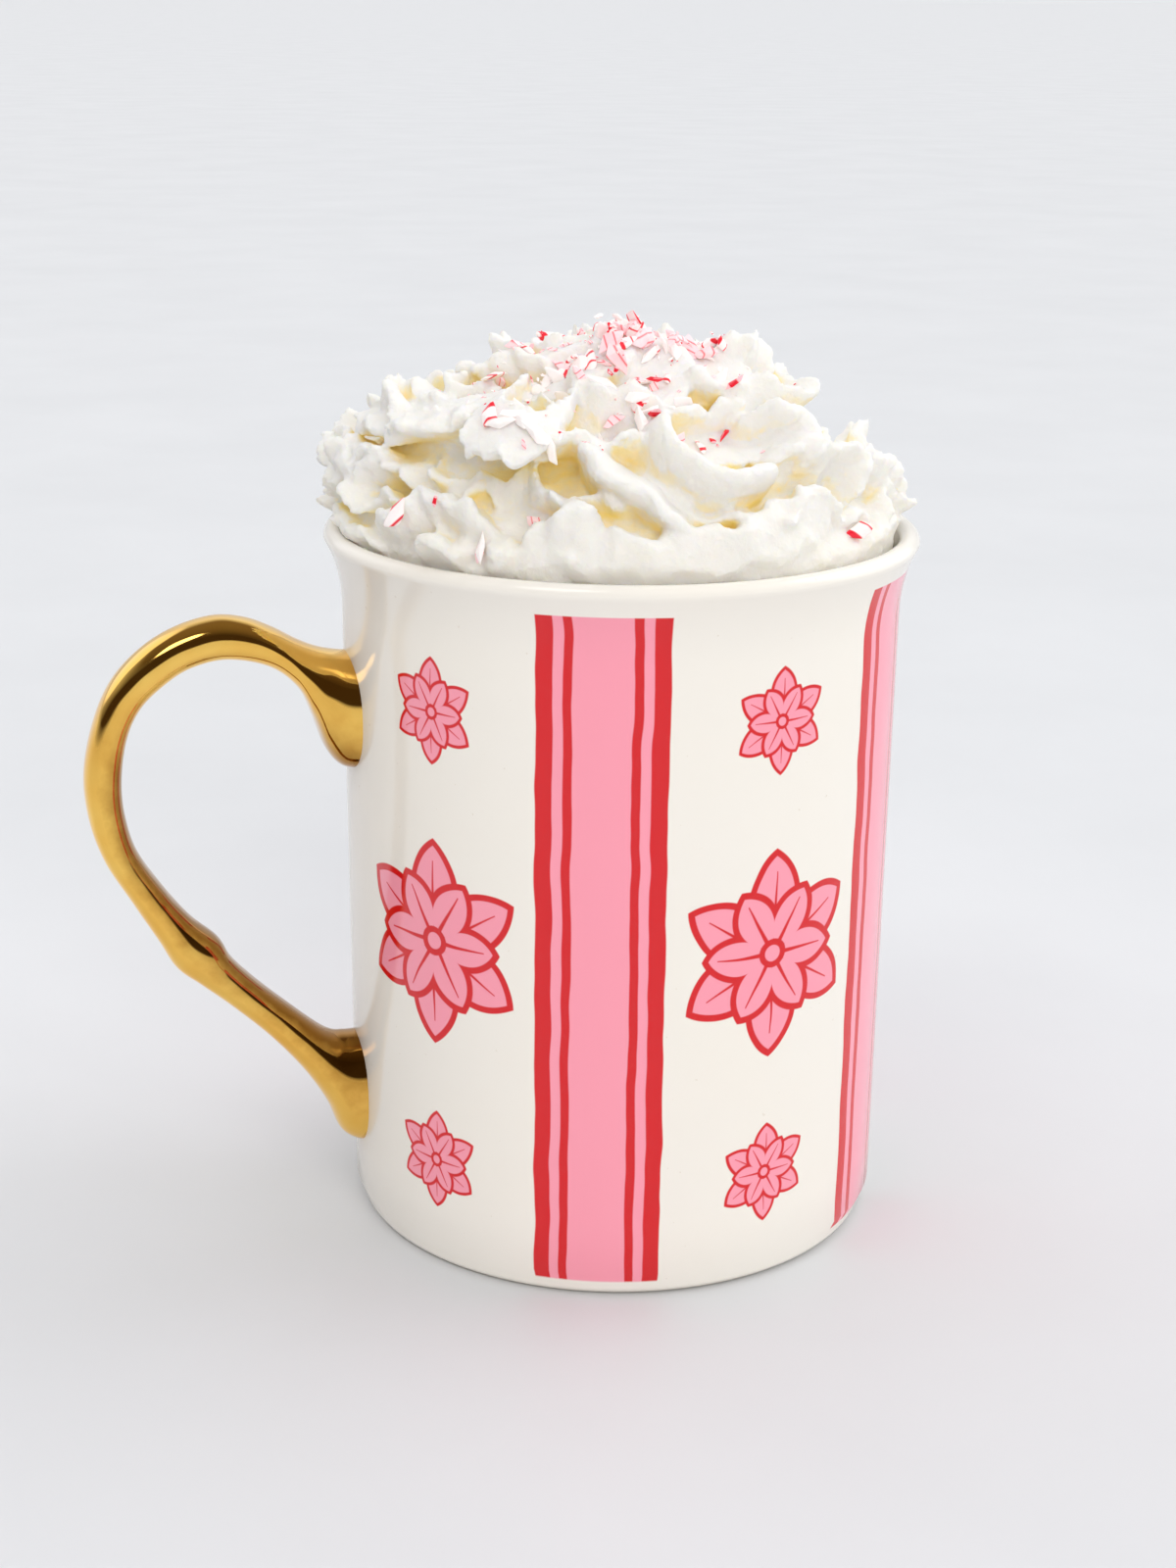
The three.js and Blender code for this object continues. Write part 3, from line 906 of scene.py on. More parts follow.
@dataclass
class Mug:
    """The cup and its handle, in millimetres.

    A station of the handle is the reach and height of its outer side, the reach and height of its inner side
    and half its width.
    """

    height: float = 109.0
    lip_radius: float = 45.0
    lip_thickness: float = 3.2
    neck_radius: float = 42.4
    neck_height: float = 96.5
    foot_radius: float = 40.6
    foot_rounding: float = 1.6
    wall_base_radius: float = 41.6
    wall_thickness: float = 3.9
    floor_thickness: float = 6.5
    floor_rounding: float = 7.0
    flare_power: float = 2.2
    foot_inset: float = 1.2
    floor_inset: float = 1.5
    wall_from: float = 4.0
    segments: int = 192
    corner_steps: int = 9
    wall_steps: int = 14
    flare_steps: int = 19
    lip_steps: int = 17
    inside_steps: int = 10
    handle_stations: tuple[tuple[float, ...], ...] = (
        (40.2, 90.6, 40.2, 73.0, 8.8),
        (43.6, 90.9, 43.7, 73.7, 8.4),
        (46.6, 91.6, 46.0, 76.4, 7.4),
        (49.6, 92.9, 47.7, 81.2, 6.4),
        (53.2, 94.9, 49.9, 86.0, 5.6),
        (57.3, 96.6, 54.0, 89.4, 5.0),
        (62.0, 97.1, 60.2, 90.8, 4.7),
        (67.4, 95.7, 65.5, 89.8, 4.6),
        (72.4, 92.9, 69.4, 87.5, 4.6),
        (77.0, 88.3, 73.1, 84.0, 4.5),
        (80.0, 82.2, 75.3, 79.4, 4.5),
        (81.8, 74.5, 76.3, 73.3, 4.5),
        (81.5, 67.5, 76.1, 67.8, 4.4),
        (79.5, 60.7, 74.6, 61.8, 4.4),
        (75.8, 54.0, 71.3, 56.2, 4.3),
        (72.0, 47.4, 67.0, 50.5, 4.4),
        (69.5, 42.9, 62.8, 46.6, 4.8),
        (65.8, 39.7, 60.8, 43.1, 4.3),
        (60.9, 35.5, 57.0, 39.0, 4.1),
        (55.4, 30.2, 51.7, 34.2, 4.2),
        (50.5, 24.4, 47.6, 30.7, 4.9),
        (47.0, 18.8, 45.4, 29.4, 5.8),
        (45.0, 14.0, 43.6, 29.2, 6.6),
        (42.6, 12.0, 42.0, 29.2, 7.0),
        (39.8, 11.5, 39.8, 29.4, 7.2),
    )
    handle_steps: int = 240
    handle_sides: int = 48
    handle_squareness: float = 2.4

    @property
    def lip_height(self) -> float:
        """The height of the lip's middle."""
        return self.height - self.lip_thickness / 2

    @property
    def lip_middle(self) -> float:
        """The radius of the lip's middle."""
        return self.lip_radius - self.lip_thickness / 2

    def outer_radius(self, height: np.ndarray) -> np.ndarray:
        """The wall's outer radius at a height, with the flare towards the lip."""
        wall = np.interp(height, [0.0, self.neck_height], [self.wall_base_radius, self.neck_radius])
        flare = np.clip((height - self.neck_height) / (self.lip_height - self.neck_height), 0.0, 1.0)
        return wall + (self.lip_radius - self.neck_radius) * flare**self.flare_power

    def inner_radius(self, height: np.ndarray) -> np.ndarray:
        """The cavity's radius at a height: the wall thins from its full thickness to the lip's."""
        share = np.clip((height - self.neck_height) / (self.lip_height - self.neck_height), 0.0, 1.0)
        thin = share * share * (3.0 - 2.0 * share)
        change = self.lip_thickness - self.wall_thickness
        return self.outer_radius(height) - self.wall_thickness - change * thin

    def build(self) -> None:
        """Makes the glazed cup and the gold handle, which together stand for the CAD mug."""
        cup = self._cup().piece("mug_cup")
        cup.data.materials.append(Glaze().material())
        hand_in(cup, "mug")
        handle = self._handle().piece("mug_handle")
        lustre = GoldLustre()
        self._mark_inner(handle, lustre.inner_name)
        handle.data.materials.append(lustre.material())
        hand_in(handle, "mug")

    def _cup(self) -> Shell:
        """The cup as one turned shell, with its floor, wall, flare and rolled lip."""
        quarter = np.linspace(-math.pi / 2, 0.0, self.corner_steps)
        foot = np.stack([
            self.foot_radius - self.foot_rounding * (1 - np.cos(quarter)),
            self.foot_rounding * (1 + np.sin(quarter)),
        ], axis=1)
        low = np.linspace(self.wall_from, self.neck_height, self.wall_steps)
        flare = np.linspace(self.neck_height, self.lip_height, self.flare_steps)[1:]
        wall_heights = np.concatenate([low, flare])
        wall = np.stack([self.outer_radius(wall_heights), wall_heights], axis=1)
        half = np.linspace(0.0, math.pi, self.lip_steps)[1:-1]
        lip = np.stack([
            self.lip_middle + self.lip_thickness / 2 * np.cos(half),
            self.lip_height + self.lip_thickness / 2 * np.sin(half),
        ], axis=1)
        bottom = self.floor_thickness + self.floor_rounding
        straight = np.linspace(self.neck_height, bottom, self.inside_steps)
        inner_heights = np.concatenate([flare[::-1], straight])
        inside = np.stack([self.inner_radius(inner_heights), inner_heights], axis=1)
        corner = float(self.inner_radius(np.float64(bottom))) - self.floor_rounding
        floor = np.stack([
            corner + self.floor_rounding * np.cos(quarter[::-1]),
            bottom + self.floor_rounding * np.sin(quarter[::-1]),
        ], axis=1)[1:]
        rest = np.array([[self.foot_radius - self.foot_rounding - self.foot_inset, 0.0]])
        flat = np.array([[corner - self.floor_inset, self.floor_thickness]])
        ends = np.array([[0.0, 0.0]]), np.array([[0.0, self.floor_thickness]])
        profile = np.concatenate([ends[0], rest, foot, wall, lip, inside, floor, flat, ends[1]])
        return turned(profile, self.segments)

    def _handle(self) -> Shell:
        """The handle as a loft of rounded sections, with both roots sunk in the cup's wall."""
        rows = spline(self.handle_stations, self.handle_steps)
        outer = np.stack([-rows[:, 0], np.zeros(len(rows)), rows[:, 1]], axis=1)
        inner = np.stack([-rows[:, 2], np.zeros(len(rows)), rows[:, 3]], axis=1)
        middle, reach = (outer + inner) / 2, (outer - inner) / 2
        side = np.stack([np.zeros(len(rows)), rows[:, 4], np.zeros(len(rows))], axis=1)
        angles = np.linspace(0.0, 2 * math.pi, self.handle_sides, endpoint=False)
        power = 2 / self.handle_squareness
        along, across = (np.sign(wave) * np.abs(wave) ** power for wave in (np.cos(angles), np.sin(angles)))
        rings = middle[:, None] + reach[:, None] * along[:, None] + side[:, None] * across[:, None]
        return lofted(rings)

    def _mark_inner(self, handle: bpy.types.Object, name: str) -> None:
        """Stores how far round to the loop's inner side each point lies, from 0 on the outer side to 1.

        Args:
            handle: The handle, whose points run ring by ring and end with the middles of its two ends.
            name: The attribute's name.
        """
        angles = np.linspace(0.0, 2 * math.pi, self.handle_sides, endpoint=False)
        inner = np.tile((1 - np.cos(angles)) / 2, self.handle_steps)
        end_middles = (0.5, 0.5)
        layer = handle.data.attributes.new(name, "FLOAT", "POINT")
        layer.data.foreach_set("value", np.append(inner, end_middles).astype(np.float32))


@dataclass(frozen=True)
class Fold:
    """A fold of cream that stands out from the rope.

    The crest runs through stations of bearing, radius and height, and the fold thickens from there towards
    its root, a place on the axis.
    """

    crest: tuple[tuple[float, float, float], ...]
    lean: float = 0.0
    thickness: float = 1.5
    root_height: float = 103.0
    depth: float = 13.0
    ruffle: float = 0.9
    ruffle_length: float = 7.0
    ragged: float = 0.5


@dataclass
class WhippedCream:
    """The heap of cream: a core, a piped rope with a star section, a crown and the folds that stand out.

    The core's points are radius and height, the rope's stations bearing, radius, height and thickness, and
    the crown's levels height and radius. A wave of the rope is its size and length, and a wave of the swell
    its size and how often it comes round the rim.
    """

    mug: Mug
    clearance: float = 0.15
    drink_level: float = 97.0
    heap_points: tuple[tuple[float, float], ...] = (
        (41.7, 108.2),
        (41.2, 109.8),
        (39.6, 112.2),
        (36.4, 115.0),
        (31.0, 118.2),
        (25.0, 122.6),
        (16.0, 128.0),
        (8.0, 130.4),
    )
    heap_top: float = 131.0
    plug_steps: int = 8
    dome_steps: int = 24
    heap_segments: int = 96
    rope_stations: tuple[tuple[float, ...], ...] = (
        (146, 33.5, 110.5, 8.0),
        (168, 34.8, 112.2, 12.0),
        (205, 31.4, 111.8, 10.8),
        (255, 30.0, 111.6, 10.2),
        (300, 30.4, 112.0, 10.6),
        (345, 31.2, 112.2, 11.2),
        (400, 31.2, 112.8, 11.8),
        (455, 31.2, 113.2, 12.2),
        (500, 32.4, 115.8, 12.2),
        (530, 32.0, 118.6, 11.8),
        (560, 27.5, 120.8, 11.2),
        (600, 21.6, 121.4, 10.4),
        (655, 19.6, 122.0, 10.2),
        (720, 20.4, 123.2, 11.0),
        (790, 19.0, 124.4, 10.8),
        (850, 16.0, 126.6, 10.2),
        (900, 11.0, 129.0, 8.5),
    )
    rope_steps: int = 800
    rope_fins: int = 6
    points_per_fin: int = 18
    rope_valley: float = 0.42
    rope_twist: float = -1.1
    fin_sharpness: float = 3.0
    sway_waves: tuple[tuple[float, float], ...] = ((14.0, 19.0), (8.0, 8.7), (4.0, 4.9))
    rise_waves: tuple[tuple[float, float], ...] = ((0.13, 27.0), (0.07, 6.3), (0.04, 2.9))
    fin_phase: float = 137.5
    folds: tuple[Fold, ...] = (
        Fold(
            crest=(
                (244, 33.0, 129.0), (249, 35.5, 126.5), (254, 37.7, 124.4), (260, 39.8, 122.2),
                (265, 41.6, 119.6), (271, 42.6, 116.4),
            ),
            lean=-1.6, thickness=2.3, depth=15.0, ruffle=0.5, ruffle_length=12.0, ragged=0.4,
        ),
        Fold(
            crest=(
                (267, 22.9, 133.1), (262, 30.4, 129.9), (265, 36.7, 125.3), (272, 39.8, 122.0),
                (279, 40.8, 120.8), (288, 39.8, 121.8), (294, 38.6, 123.0),
            ),
            lean=2.8, thickness=2.1, depth=15.0, ruffle=0.1, ruffle_length=14.0, ragged=0.1,
        ),
        Fold(
            crest=(
                (213, 34.6, 127.0), (219, 38.9, 125.0), (226, 40.2, 124.0), (231, 40.8, 123.4),
                (235, 39.8, 124.0), (239, 36.6, 126.0),
            ),
            lean=0.6, root_height=140.0, depth=11.0, ruffle=1.1, ruffle_length=11.0, ragged=0.7,
        ),
        Fold(
            crest=(
                (163, 42.8, 123.2), (182, 40.3, 123.8), (198, 38.8, 124.6), (207, 36.9, 126.2),
                (213, 32.4, 129.6),
            ),
            lean=0.5, thickness=1.7, root_height=132.0, depth=11.0, ruffle=1.2, ruffle_length=12.0,
            ragged=0.8,
        ),
        Fold(
            crest=(
                (197, 44.8, 113.4), (204, 44.2, 115.8), (211, 43.0, 118.0), (216, 42.2, 119.4),
                (220, 42.2, 119.0), (225, 43.0, 117.4), (230, 42.6, 116.2),
            ),
            lean=0.6, thickness=1.8, root_height=80.0, depth=9.0, ruffle=1.2, ruffle_length=10.0,
            ragged=0.6,
        ),
        Fold(
            crest=(
                (233, 40.2, 114.6), (236, 41.2, 117.4), (240, 40.8, 117.6), (246, 40.2, 121.2),
                (250, 41.3, 117.4), (252, 41.2, 116.2), (255, 41.0, 117.4), (260, 41.3, 115.7),
                (265, 41.0, 116.4), (272, 40.8, 117.0), (279, 40.6, 117.3), (285, 40.2, 118.2),
                (291, 39.2, 119.7), (298, 38.4, 120.9), (304, 39.0, 119.8), (309, 40.2, 116.6),
            ),
            lean=0.5, thickness=2.2, root_height=-150.0, depth=9.0, ruffle=1.4, ruffle_length=14.0,
            ragged=0.6,
        ),
        Fold(
            crest=(
                (302, 38.7, 122.8), (307, 38.0, 124.2), (314, 38.4, 123.9), (318, 39.6, 122.1),
                (316, 42.2, 117.5),
            ),
            lean=1.2, thickness=1.7, ruffle=0.6, ruffle_length=9.0,
        ),
        Fold(
            crest=(
                (319, 38.4, 122.9), (329, 40.8, 121.1), (338, 43.0, 117.2), (345, 44.0, 113.0),
            ),
            lean=1.6, thickness=1.8, root_height=95.0, depth=12.0, ruffle_length=10.0, ragged=0.6,
        ),
        Fold(
            crest=(
                (296, 29.9, 130.6), (304, 31.3, 129.8), (310, 32.8, 128.6), (304, 35.3, 126.4),
                (294, 36.1, 125.0),
            ),
            lean=1.0, thickness=1.8, root_height=108.0, depth=12.0, ruffle=0.6, ruffle_length=9.0,
        ),
        Fold(
            crest=(
                (160, 45.8, 113.6), (170, 46.0, 114.6), (177, 44.9, 116.8), (186, 43.4, 119.2),
                (196, 41.7, 121.2),
            ),
            lean=0.8, root_height=104.0, depth=12.0, ruffle=1.4, ruffle_length=8.0, ragged=0.9,
        ),
        Fold(
            crest=(
                (152, 43.6, 119.4), (165, 44.2, 120.6), (177, 41.9, 122.4), (189, 41.0, 123.1),
                (200, 40.4, 122.4),
            ),
            lean=-0.8, root_height=100.0, depth=12.0, ruffle=1.1, ruffle_length=9.0, ragged=0.8,
        ),
        Fold(
            crest=(
                (158, 36.0, 126.4), (172, 34.2, 128.4), (186, 32.8, 129.4), (199, 32.8, 128.6),
            ),
            lean=1.4, thickness=1.9, root_height=110.0, depth=11.0, ruffle=1.0, ruffle_length=10.0,
            ragged=0.7,
        ),
        Fold(
            crest=(
                (176, 27.6, 131.4), (184, 24.0, 133.6), (196, 19.0, 135.6), (214, 15.0, 136.4),
            ),
            lean=1.0, thickness=1.9, root_height=112.0, depth=11.0, ruffle=1.0, ruffle_length=9.0,
            ragged=0.7,
        ),
        Fold(
            crest=(
                (330, 15.6, 138.0), (346, 19.4, 137.6), (354, 22.4, 135.8), (350, 25.0, 132.4),
            ),
            lean=1.0, thickness=1.9, root_height=112.0, depth=11.0, ruffle=1.0, ruffle_length=8.0,
            ragged=0.7,
        ),
        Fold(
            crest=(
                (225, 19.0, 134.6), (238, 22.6, 133.4), (250, 25.0, 131.8),
            ),
            lean=1.0, thickness=1.9, root_height=108.0, depth=11.0, ruffle=0.8, ruffle_length=8.0,
            ragged=0.6,
        ),
        Fold(
            crest=(
                (284, 17.0, 135.4), (296, 20.6, 134.2), (310, 24.0, 132.6),
            ),
            lean=-1.0, thickness=1.9, root_height=108.0, depth=11.0, ruffle=0.8, ruffle_length=8.0,
            ragged=0.6,
        ),
        Fold(
            crest=(
                (212, 43.0, 111.4), (216, 44.4, 113.8), (220, 44.4, 114.0), (224, 43.0, 111.6),
            ),
            lean=-0.5, thickness=1.7, root_height=60.0, depth=7.0, ruffle=0.1, ruffle_length=6.0,
            ragged=0.1,
        ),
        Fold(
            crest=(
                (158, 43.2, 110.4), (172, 43.6, 111.6), (188, 43.4, 111.4), (204, 43.2, 110.8),
            ),
            lean=0.3, thickness=1.8, root_height=60.0, depth=6.0, ruffle=0.5, ruffle_length=8.0, ragged=0.3,
        ),
        Fold(
            crest=(
                (306, 41.4, 111.6), (322, 41.8, 112.0), (338, 41.8, 111.4), (354, 41.4, 110.6),
            ),
            lean=0.3, thickness=1.8, root_height=60.0, depth=6.0, ruffle=0.5, ruffle_length=9.0, ragged=0.3,
        ),
        Fold(
            crest=(
                (227, 41.8, 112.2), (231, 42.8, 113.2), (236, 42.6, 112.0),
            ),
            lean=0.5, thickness=1.6, root_height=60.0, depth=6.0, ruffle=0.4, ruffle_length=5.0, ragged=0.4,
        ),
        Fold(
            crest=(
                (240, 42.0, 112.0), (245, 42.6, 113.8), (251, 42.2, 112.6), (257, 42.2, 111.6),
            ),
            lean=-0.5, thickness=1.6, root_height=70.0, depth=6.0, ruffle=0.6, ragged=0.4,
        ),
        Fold(
            crest=(
                (268, 41.6, 111.4), (276, 42.2, 113.2), (286, 41.8, 112.8), (294, 41.6, 114.0),
                (302, 41.6, 112.0),
            ),
            lean=0.5, thickness=1.6, root_height=70.0, depth=6.0, ruffle=0.8, ruffle_length=9.0, ragged=0.4,
        ),
    )
    fold_end_dip: float = 5.0
    fold_end_share: float = 0.35
    fold_steps: int = 20
    ruffle_overtone: tuple[float, float, float] = (0.5, 2.37, 1.3)
    tear_waves: tuple[float, float, float] = (1.9, 0.8, 0.7)
    fold_downs: tuple[float, ...] = (0.0, 0.06, 0.18, 0.35, 0.6, 1.0)
    fold_halves: tuple[float, ...] = (0.25, 0.55, 0.85, 1.1, 1.45, 2.0)
    crown_levels: tuple[tuple[float, float], ...] = (
        (122.0, 24.0),
        (129.0, 22.0),
        (132.6, 18.5),
        (135.0, 13.5),
        (136.8, 7.5),
        (137.6, 2.4),
    )
    crown_steps: int = 40
    crown_sides: int = 84
    crown_fins: int = 7
    crown_fin_depth: float = 0.36
    crown_twist: float = 14.0
    tuck: float = 0.05
    tuck_softness: float = 2.2
    swell_from: float = 107.9
    swell_waves: tuple[tuple[float, int], ...] = ((0.7, 1), (0.5, 9), (0.4, 16), (0.35, 29))
    inset_bearing: float = 330.0
    swell: float = 0.3
    voxel: float = 0.5
    soften_factor: float = 0.5
    soften_rounds: int = 2
    lump_grain: float = 5.0
    lump_depth: float = 0.65
    grit_grain: float = 1.6
    grit_depth: float = 0.75
    grit_everywhere: float = 0.3
    ridge_height: float = 0.6
    ridge_bias: float = 0.25
    ridge_blur: int = 14
    most_triangles: int = 180000
    ray_start: float = 0.4
    ray_length: float = 14.0
    ray_count: int = 18

    def build(self) -> bpy.types.Object:
        """Makes the cream in place of its CAD node.

        Returns:
            The finished piece.
        """
        folds = [self._fold(fold) for fold in self.folds]
        shell = Shell.joined([self._heap(), self._rope(), self._crown(), *folds])
        piece = shell.piece("whipped_cream_heap")
        finish = CreamFoam()
        self._merge(piece)
        self._tuck_in(piece)
        self._roughen(piece, finish.material())
        self._thin_out(piece)
        self._drop_scraps(piece)
        self._keep_clear(piece)
        self._mark_hollows(piece, finish.hollow_name)
        hand_in(piece, "whipped_cream")
        return piece

    def _heap(self) -> Shell:
        """The core that fills the mug's mouth and carries the rope."""
        bottom = self.drink_level + self.clearance
        heights = np.linspace(bottom, self.mug.lip_height, self.plug_steps)
        plug = np.stack([self.mug.inner_radius(heights) - self.clearance, heights], axis=1)
        dome = spline(self.heap_points, self.dome_steps)
        profile = np.concatenate([[[0.0, bottom]], plug, dome, [[0.0, self.heap_top]]])
        return turned(profile, self.heap_segments)

    def _waves(self, waves: Sequence[tuple[float, float]], run: np.ndarray, phase: float) -> np.ndarray:
        """Adds up waves along the rope, each shifted from fin to fin.

        Args:
            waves: The height and length of each wave.
            run: How far along the rope each ring lies.
            phase: The shift from one fin to the next, in degrees.

        Returns:
            The sum, by ring and by fin.
        """
        fins = np.arange(self.rope_fins)
        total = np.zeros((len(run), self.rope_fins))
        for order, (size, length) in enumerate(waves):
            turn = run[:, None] / length * 360.0 + fins * phase * (order + 1)
            total += size * np.sin(np.radians(turn))
        return total

    def _rope(self) -> Shell:
        """The spiral of piped cream, whose star section winds, sways and swells along its run."""
        bearing, radius, height, thickness = spline(self.rope_stations, self.rope_steps).T
        spine = polar(bearing, radius, height)
        run = np.concatenate([[0.0], np.cumsum(np.linalg.norm(np.diff(spine, axis=0), axis=1))])
        share = np.linspace(-0.5, 0.5, self.points_per_fin, endpoint=False)
        reach = np.cos(math.pi * share) ** (2 * self.fin_sharpness)
        sway = self._waves(self.sway_waves, run, self.fin_phase)[:, :, None]
        rise = 1.0 + self._waves(self.rise_waves, run, -self.fin_phase)[:, :, None]
        fins = np.arange(self.rope_fins)[None, :, None]
        turn = 360.0 / self.rope_fins * (fins + share) + self.rope_twist * run[:, None, None] + sway * reach
        size = thickness[:, None, None]
        out = size * (self.rope_valley + (rise - self.rope_valley) * reach)
        turn, out = (np.radians(turn).reshape(len(run), -1), out.reshape(len(run), -1))
        outward = polar(bearing, 1.0, 0.0)[:, None]
        up = np.array([0.0, 0.0, 1.0])
        aside, above = (out * np.cos(turn))[..., None], (out * np.sin(turn))[..., None]
        return lofted(spine[:, None] + outward * aside + up * above)

    def _fold(self, fold: Fold) -> Shell:
        """One fold: a blade whose crest follows a curve and whose root widens towards the heap's middle."""
        bearing, radius, height = spline(fold.crest, self.fold_steps * len(fold.crest)).T
        crest = polar(bearing, radius, height)
        along = np.linspace(0.0, 1.0, len(crest))
        arch = np.sin(math.pi * along)
        inward = unit(np.array([0.0, 0.0, fold.root_height]) - crest)
        across = unit(np.cross(np.gradient(crest, axis=0), inward))
        taper = self.fold_end_share + (1 - self.fold_end_share) * np.sqrt(np.maximum(arch, 0.0))
        run = np.concatenate([[0.0], np.cumsum(np.linalg.norm(np.diff(crest, axis=0), axis=1))])
        wave = 2 * math.pi * run / fold.ruffle_length
        share, rate, phase = self.ruffle_overtone
        ruffle = fold.ruffle * (np.sin(wave) + share * np.sin(rate * wave + phase))
        quick, slow, phase = self.tear_waves
        torn = fold.ragged * (1.0 + np.sin(quick * wave + phase) * np.sin(slow * wave))
        top = crest + inward * (self.fold_end_dip * (1 - arch) ** 4 + torn)[:, None]
        down = np.array(self.fold_downs)
        half = fold.thickness * np.array(self.fold_halves)
        downs, sides = np.concatenate([down, down[::-1]]), np.concatenate([-half, half[::-1]])
        curl = fold.lean * (1 - downs) ** 2 + ruffle[:, None] * (1 - downs) ** 4
        aside = across[:, None] * (taper[:, None] * (sides + curl))[..., None]
        below = inward[:, None] * (downs * fold.depth)[:, None]
        return lofted(top[:, None] + below + aside)

    def _crown(self) -> Shell:
        """The last turn of cream: a star-shaped tuft that twists as it narrows."""
        height, radius = spline(self.crown_levels, self.crown_steps).T
        angles = np.linspace(0.0, 2 * math.pi, self.crown_sides, endpoint=False)
        valley = (1 - np.cos(angles * self.crown_fins)) / 2
        twist = np.linspace(0.0, self.crown_twist * (len(self.crown_levels) - 1), len(height))
        bearing = np.degrees(angles)[None] + twist[:, None]
        return lofted(polar(bearing, radius[:, None] * (1 - self.crown_fin_depth * valley), height[:, None]))

    def _merge(self, piece: bpy.types.Object) -> None:
        """Fuses the overlapping shells into one skin and softens it a little."""
        fuse = piece.modifiers.new("fuse", "REMESH")
        fuse.mode = "VOXEL"
        fuse.voxel_size = self.voxel * MM
        soften = piece.modifiers.new("soften", "SMOOTH")
        soften.factor = self.soften_factor
        soften.iterations = self.soften_rounds
        settle(piece)

    def _tuck_in(self, piece: bpy.types.Object) -> None:
        """Draws the foot of the heap inside the lip, and lets it swell over the lip further up."""
        points = points_of(piece.data) / MM
        radius = np.hypot(points[:, 0], points[:, 1])
        bearing = np.arctan2(points[:, 1], points[:, 0])
        turn = bearing - math.radians(self.inset_bearing)
        start = self.swell_from + sum(size * np.cos(count * turn) for size, count in self.swell_waves)
        rise = np.maximum(points[:, 2] - start, 0.0)
        limit = self.mug.lip_radius - self.mug.lip_thickness - self.tuck + self.swell * rise**2
        beyond = np.maximum(radius - limit + self.tuck_softness, 0.0)
        drawn = limit - self.tuck_softness * np.exp(-beyond / self.tuck_softness)
        fresh = np.where(beyond > 0.0, np.minimum(drawn, radius), radius)
        set_radius(points, fresh)
        move_points(piece.data, points * MM)

    def _roughen(self, piece: bpy.types.Object, material: bpy.types.Material) -> None:
        """Gives the skin its lumps, and grit that is strongest along the ridges."""
        graph = GeometryGraph("cream_relief", {
            "Lump grain": ("NodeSocketFloat", self.lump_grain * MM),
            "Lump depth": ("NodeSocketFloat", self.lump_depth * MM),
            "Grit grain": ("NodeSocketFloat", self.grit_grain * MM),
            "Grit depth": ("NodeSocketFloat", self.grit_depth * MM),
            "Ridge height": ("NodeSocketFloat", self.ridge_height * MM),
        })
        place = graph.node("GeometryNodeInputPosition")
        normal = graph.node("GeometryNodeInputNormal")
        blur = {"Value": place, "Iterations": self.ridge_blur, "Weight": 1.0}
        calm = graph.node("GeometryNodeBlurAttribute", {"data_type": "FLOAT_VECTOR"}, blur, "Value")
        stand = graph.node("ShaderNodeVectorMath", {"operation": "SUBTRACT"}, {0: place, 1: calm}, "Vector")
        ridge = (graph.dot(stand, normal) / graph.given("Ridge height") + self.ridge_bias).clipped()
        lumps = {"Vector": place, "Scale": 1.0 / graph.given("Lump grain"), "Detail": 2.0}
        lump = graph.node("ShaderNodeTexNoise", None, lumps, "Fac") - 0.5
        grits = {"Vector": place, "Scale": 1.0 / graph.given("Grit grain"), "Detail": 3.0, "Roughness": 0.6}
        grit = graph.node("ShaderNodeTexNoise", None, grits, "Fac") - 0.5
        share = self.grit_everywhere + (1.0 - self.grit_everywhere) * ridge
        lift = 2.0 * lump * graph.given("Lump depth") + 2.0 * grit * graph.given("Grit depth") * share
        inputs = {0: normal, "Scale": lift}
        offset = graph.node("ShaderNodeVectorMath", {"operation": "SCALE"}, inputs, "Vector")
        inputs = {"Geometry": graph.given("Geometry"), "Offset": offset}
        moved = graph.node("GeometryNodeSetPosition", None, inputs, "Geometry")
        graph.run(piece, moved, material)

    def _thin_out(self, piece: bpy.types.Object) -> None:
        """Joins triangles where the skin is smooth, down to the count that the piece may have."""
        piece.data.calc_loop_triangles()
        thin = piece.modifiers.new("thin_out", "DECIMATE")
        thin.ratio = min(1.0, self.most_triangles / len(piece.data.loop_triangles))
        settle(piece)
        piece.data.polygons.foreach_set("use_smooth", [True] * len(piece.data.polygons))

    def _drop_scraps(self, piece: bpy.types.Object) -> None:
        """Keeps the largest connected skin and deletes what is loose."""
        work = bmesh.new()
        work.from_mesh(piece.data)
        left = set(work.verts)
        skins: list[list[bmesh.types.BMVert]] = []
        while left:
            front = [left.pop()]
            skin = list(front)
            while front:
                near = {edge.other_vert(vertex) for vertex in front for edge in vertex.link_edges} & left
                left -= near
                front = list(near)
                skin += front
            skins.append(skin)
        skins.sort(key=len)
        scraps = [vertex for skin in skins[:-1] for vertex in skin]
        bmesh.ops.delete(work, geom=scraps, context="VERTS")
        work.to_mesh(piece.data)
        work.free()

    def _keep_clear(self, piece: bpy.types.Object) -> None:
        """Pushes the skin off the lip, the inner wall and the drink."""
        points = points_of(piece.data) / MM
        mug = self.mug
        radius = np.hypot(points[:, 0], points[:, 1])
        height = np.maximum(points[:, 2], self.drink_level + self.clearance)
        room = mug.lip_thickness / 2 + self.clearance
        across = np.clip((radius - mug.lip_middle) / room, -1.0, 1.0)
        roof = mug.lip_height + room * np.sqrt(1.0 - across**2)
        over_lip = radius > mug.lip_middle - room
        height = np.where(over_lip, np.maximum(height, roof), height)
        limit = mug.inner_radius(height) - self.clearance
        fresh = np.where(~over_lip & (height <= mug.lip_height), np.minimum(radius, limit), radius)
        set_radius(points, fresh)
        points[:, 2] = height
        move_points(piece.data, points * MM)

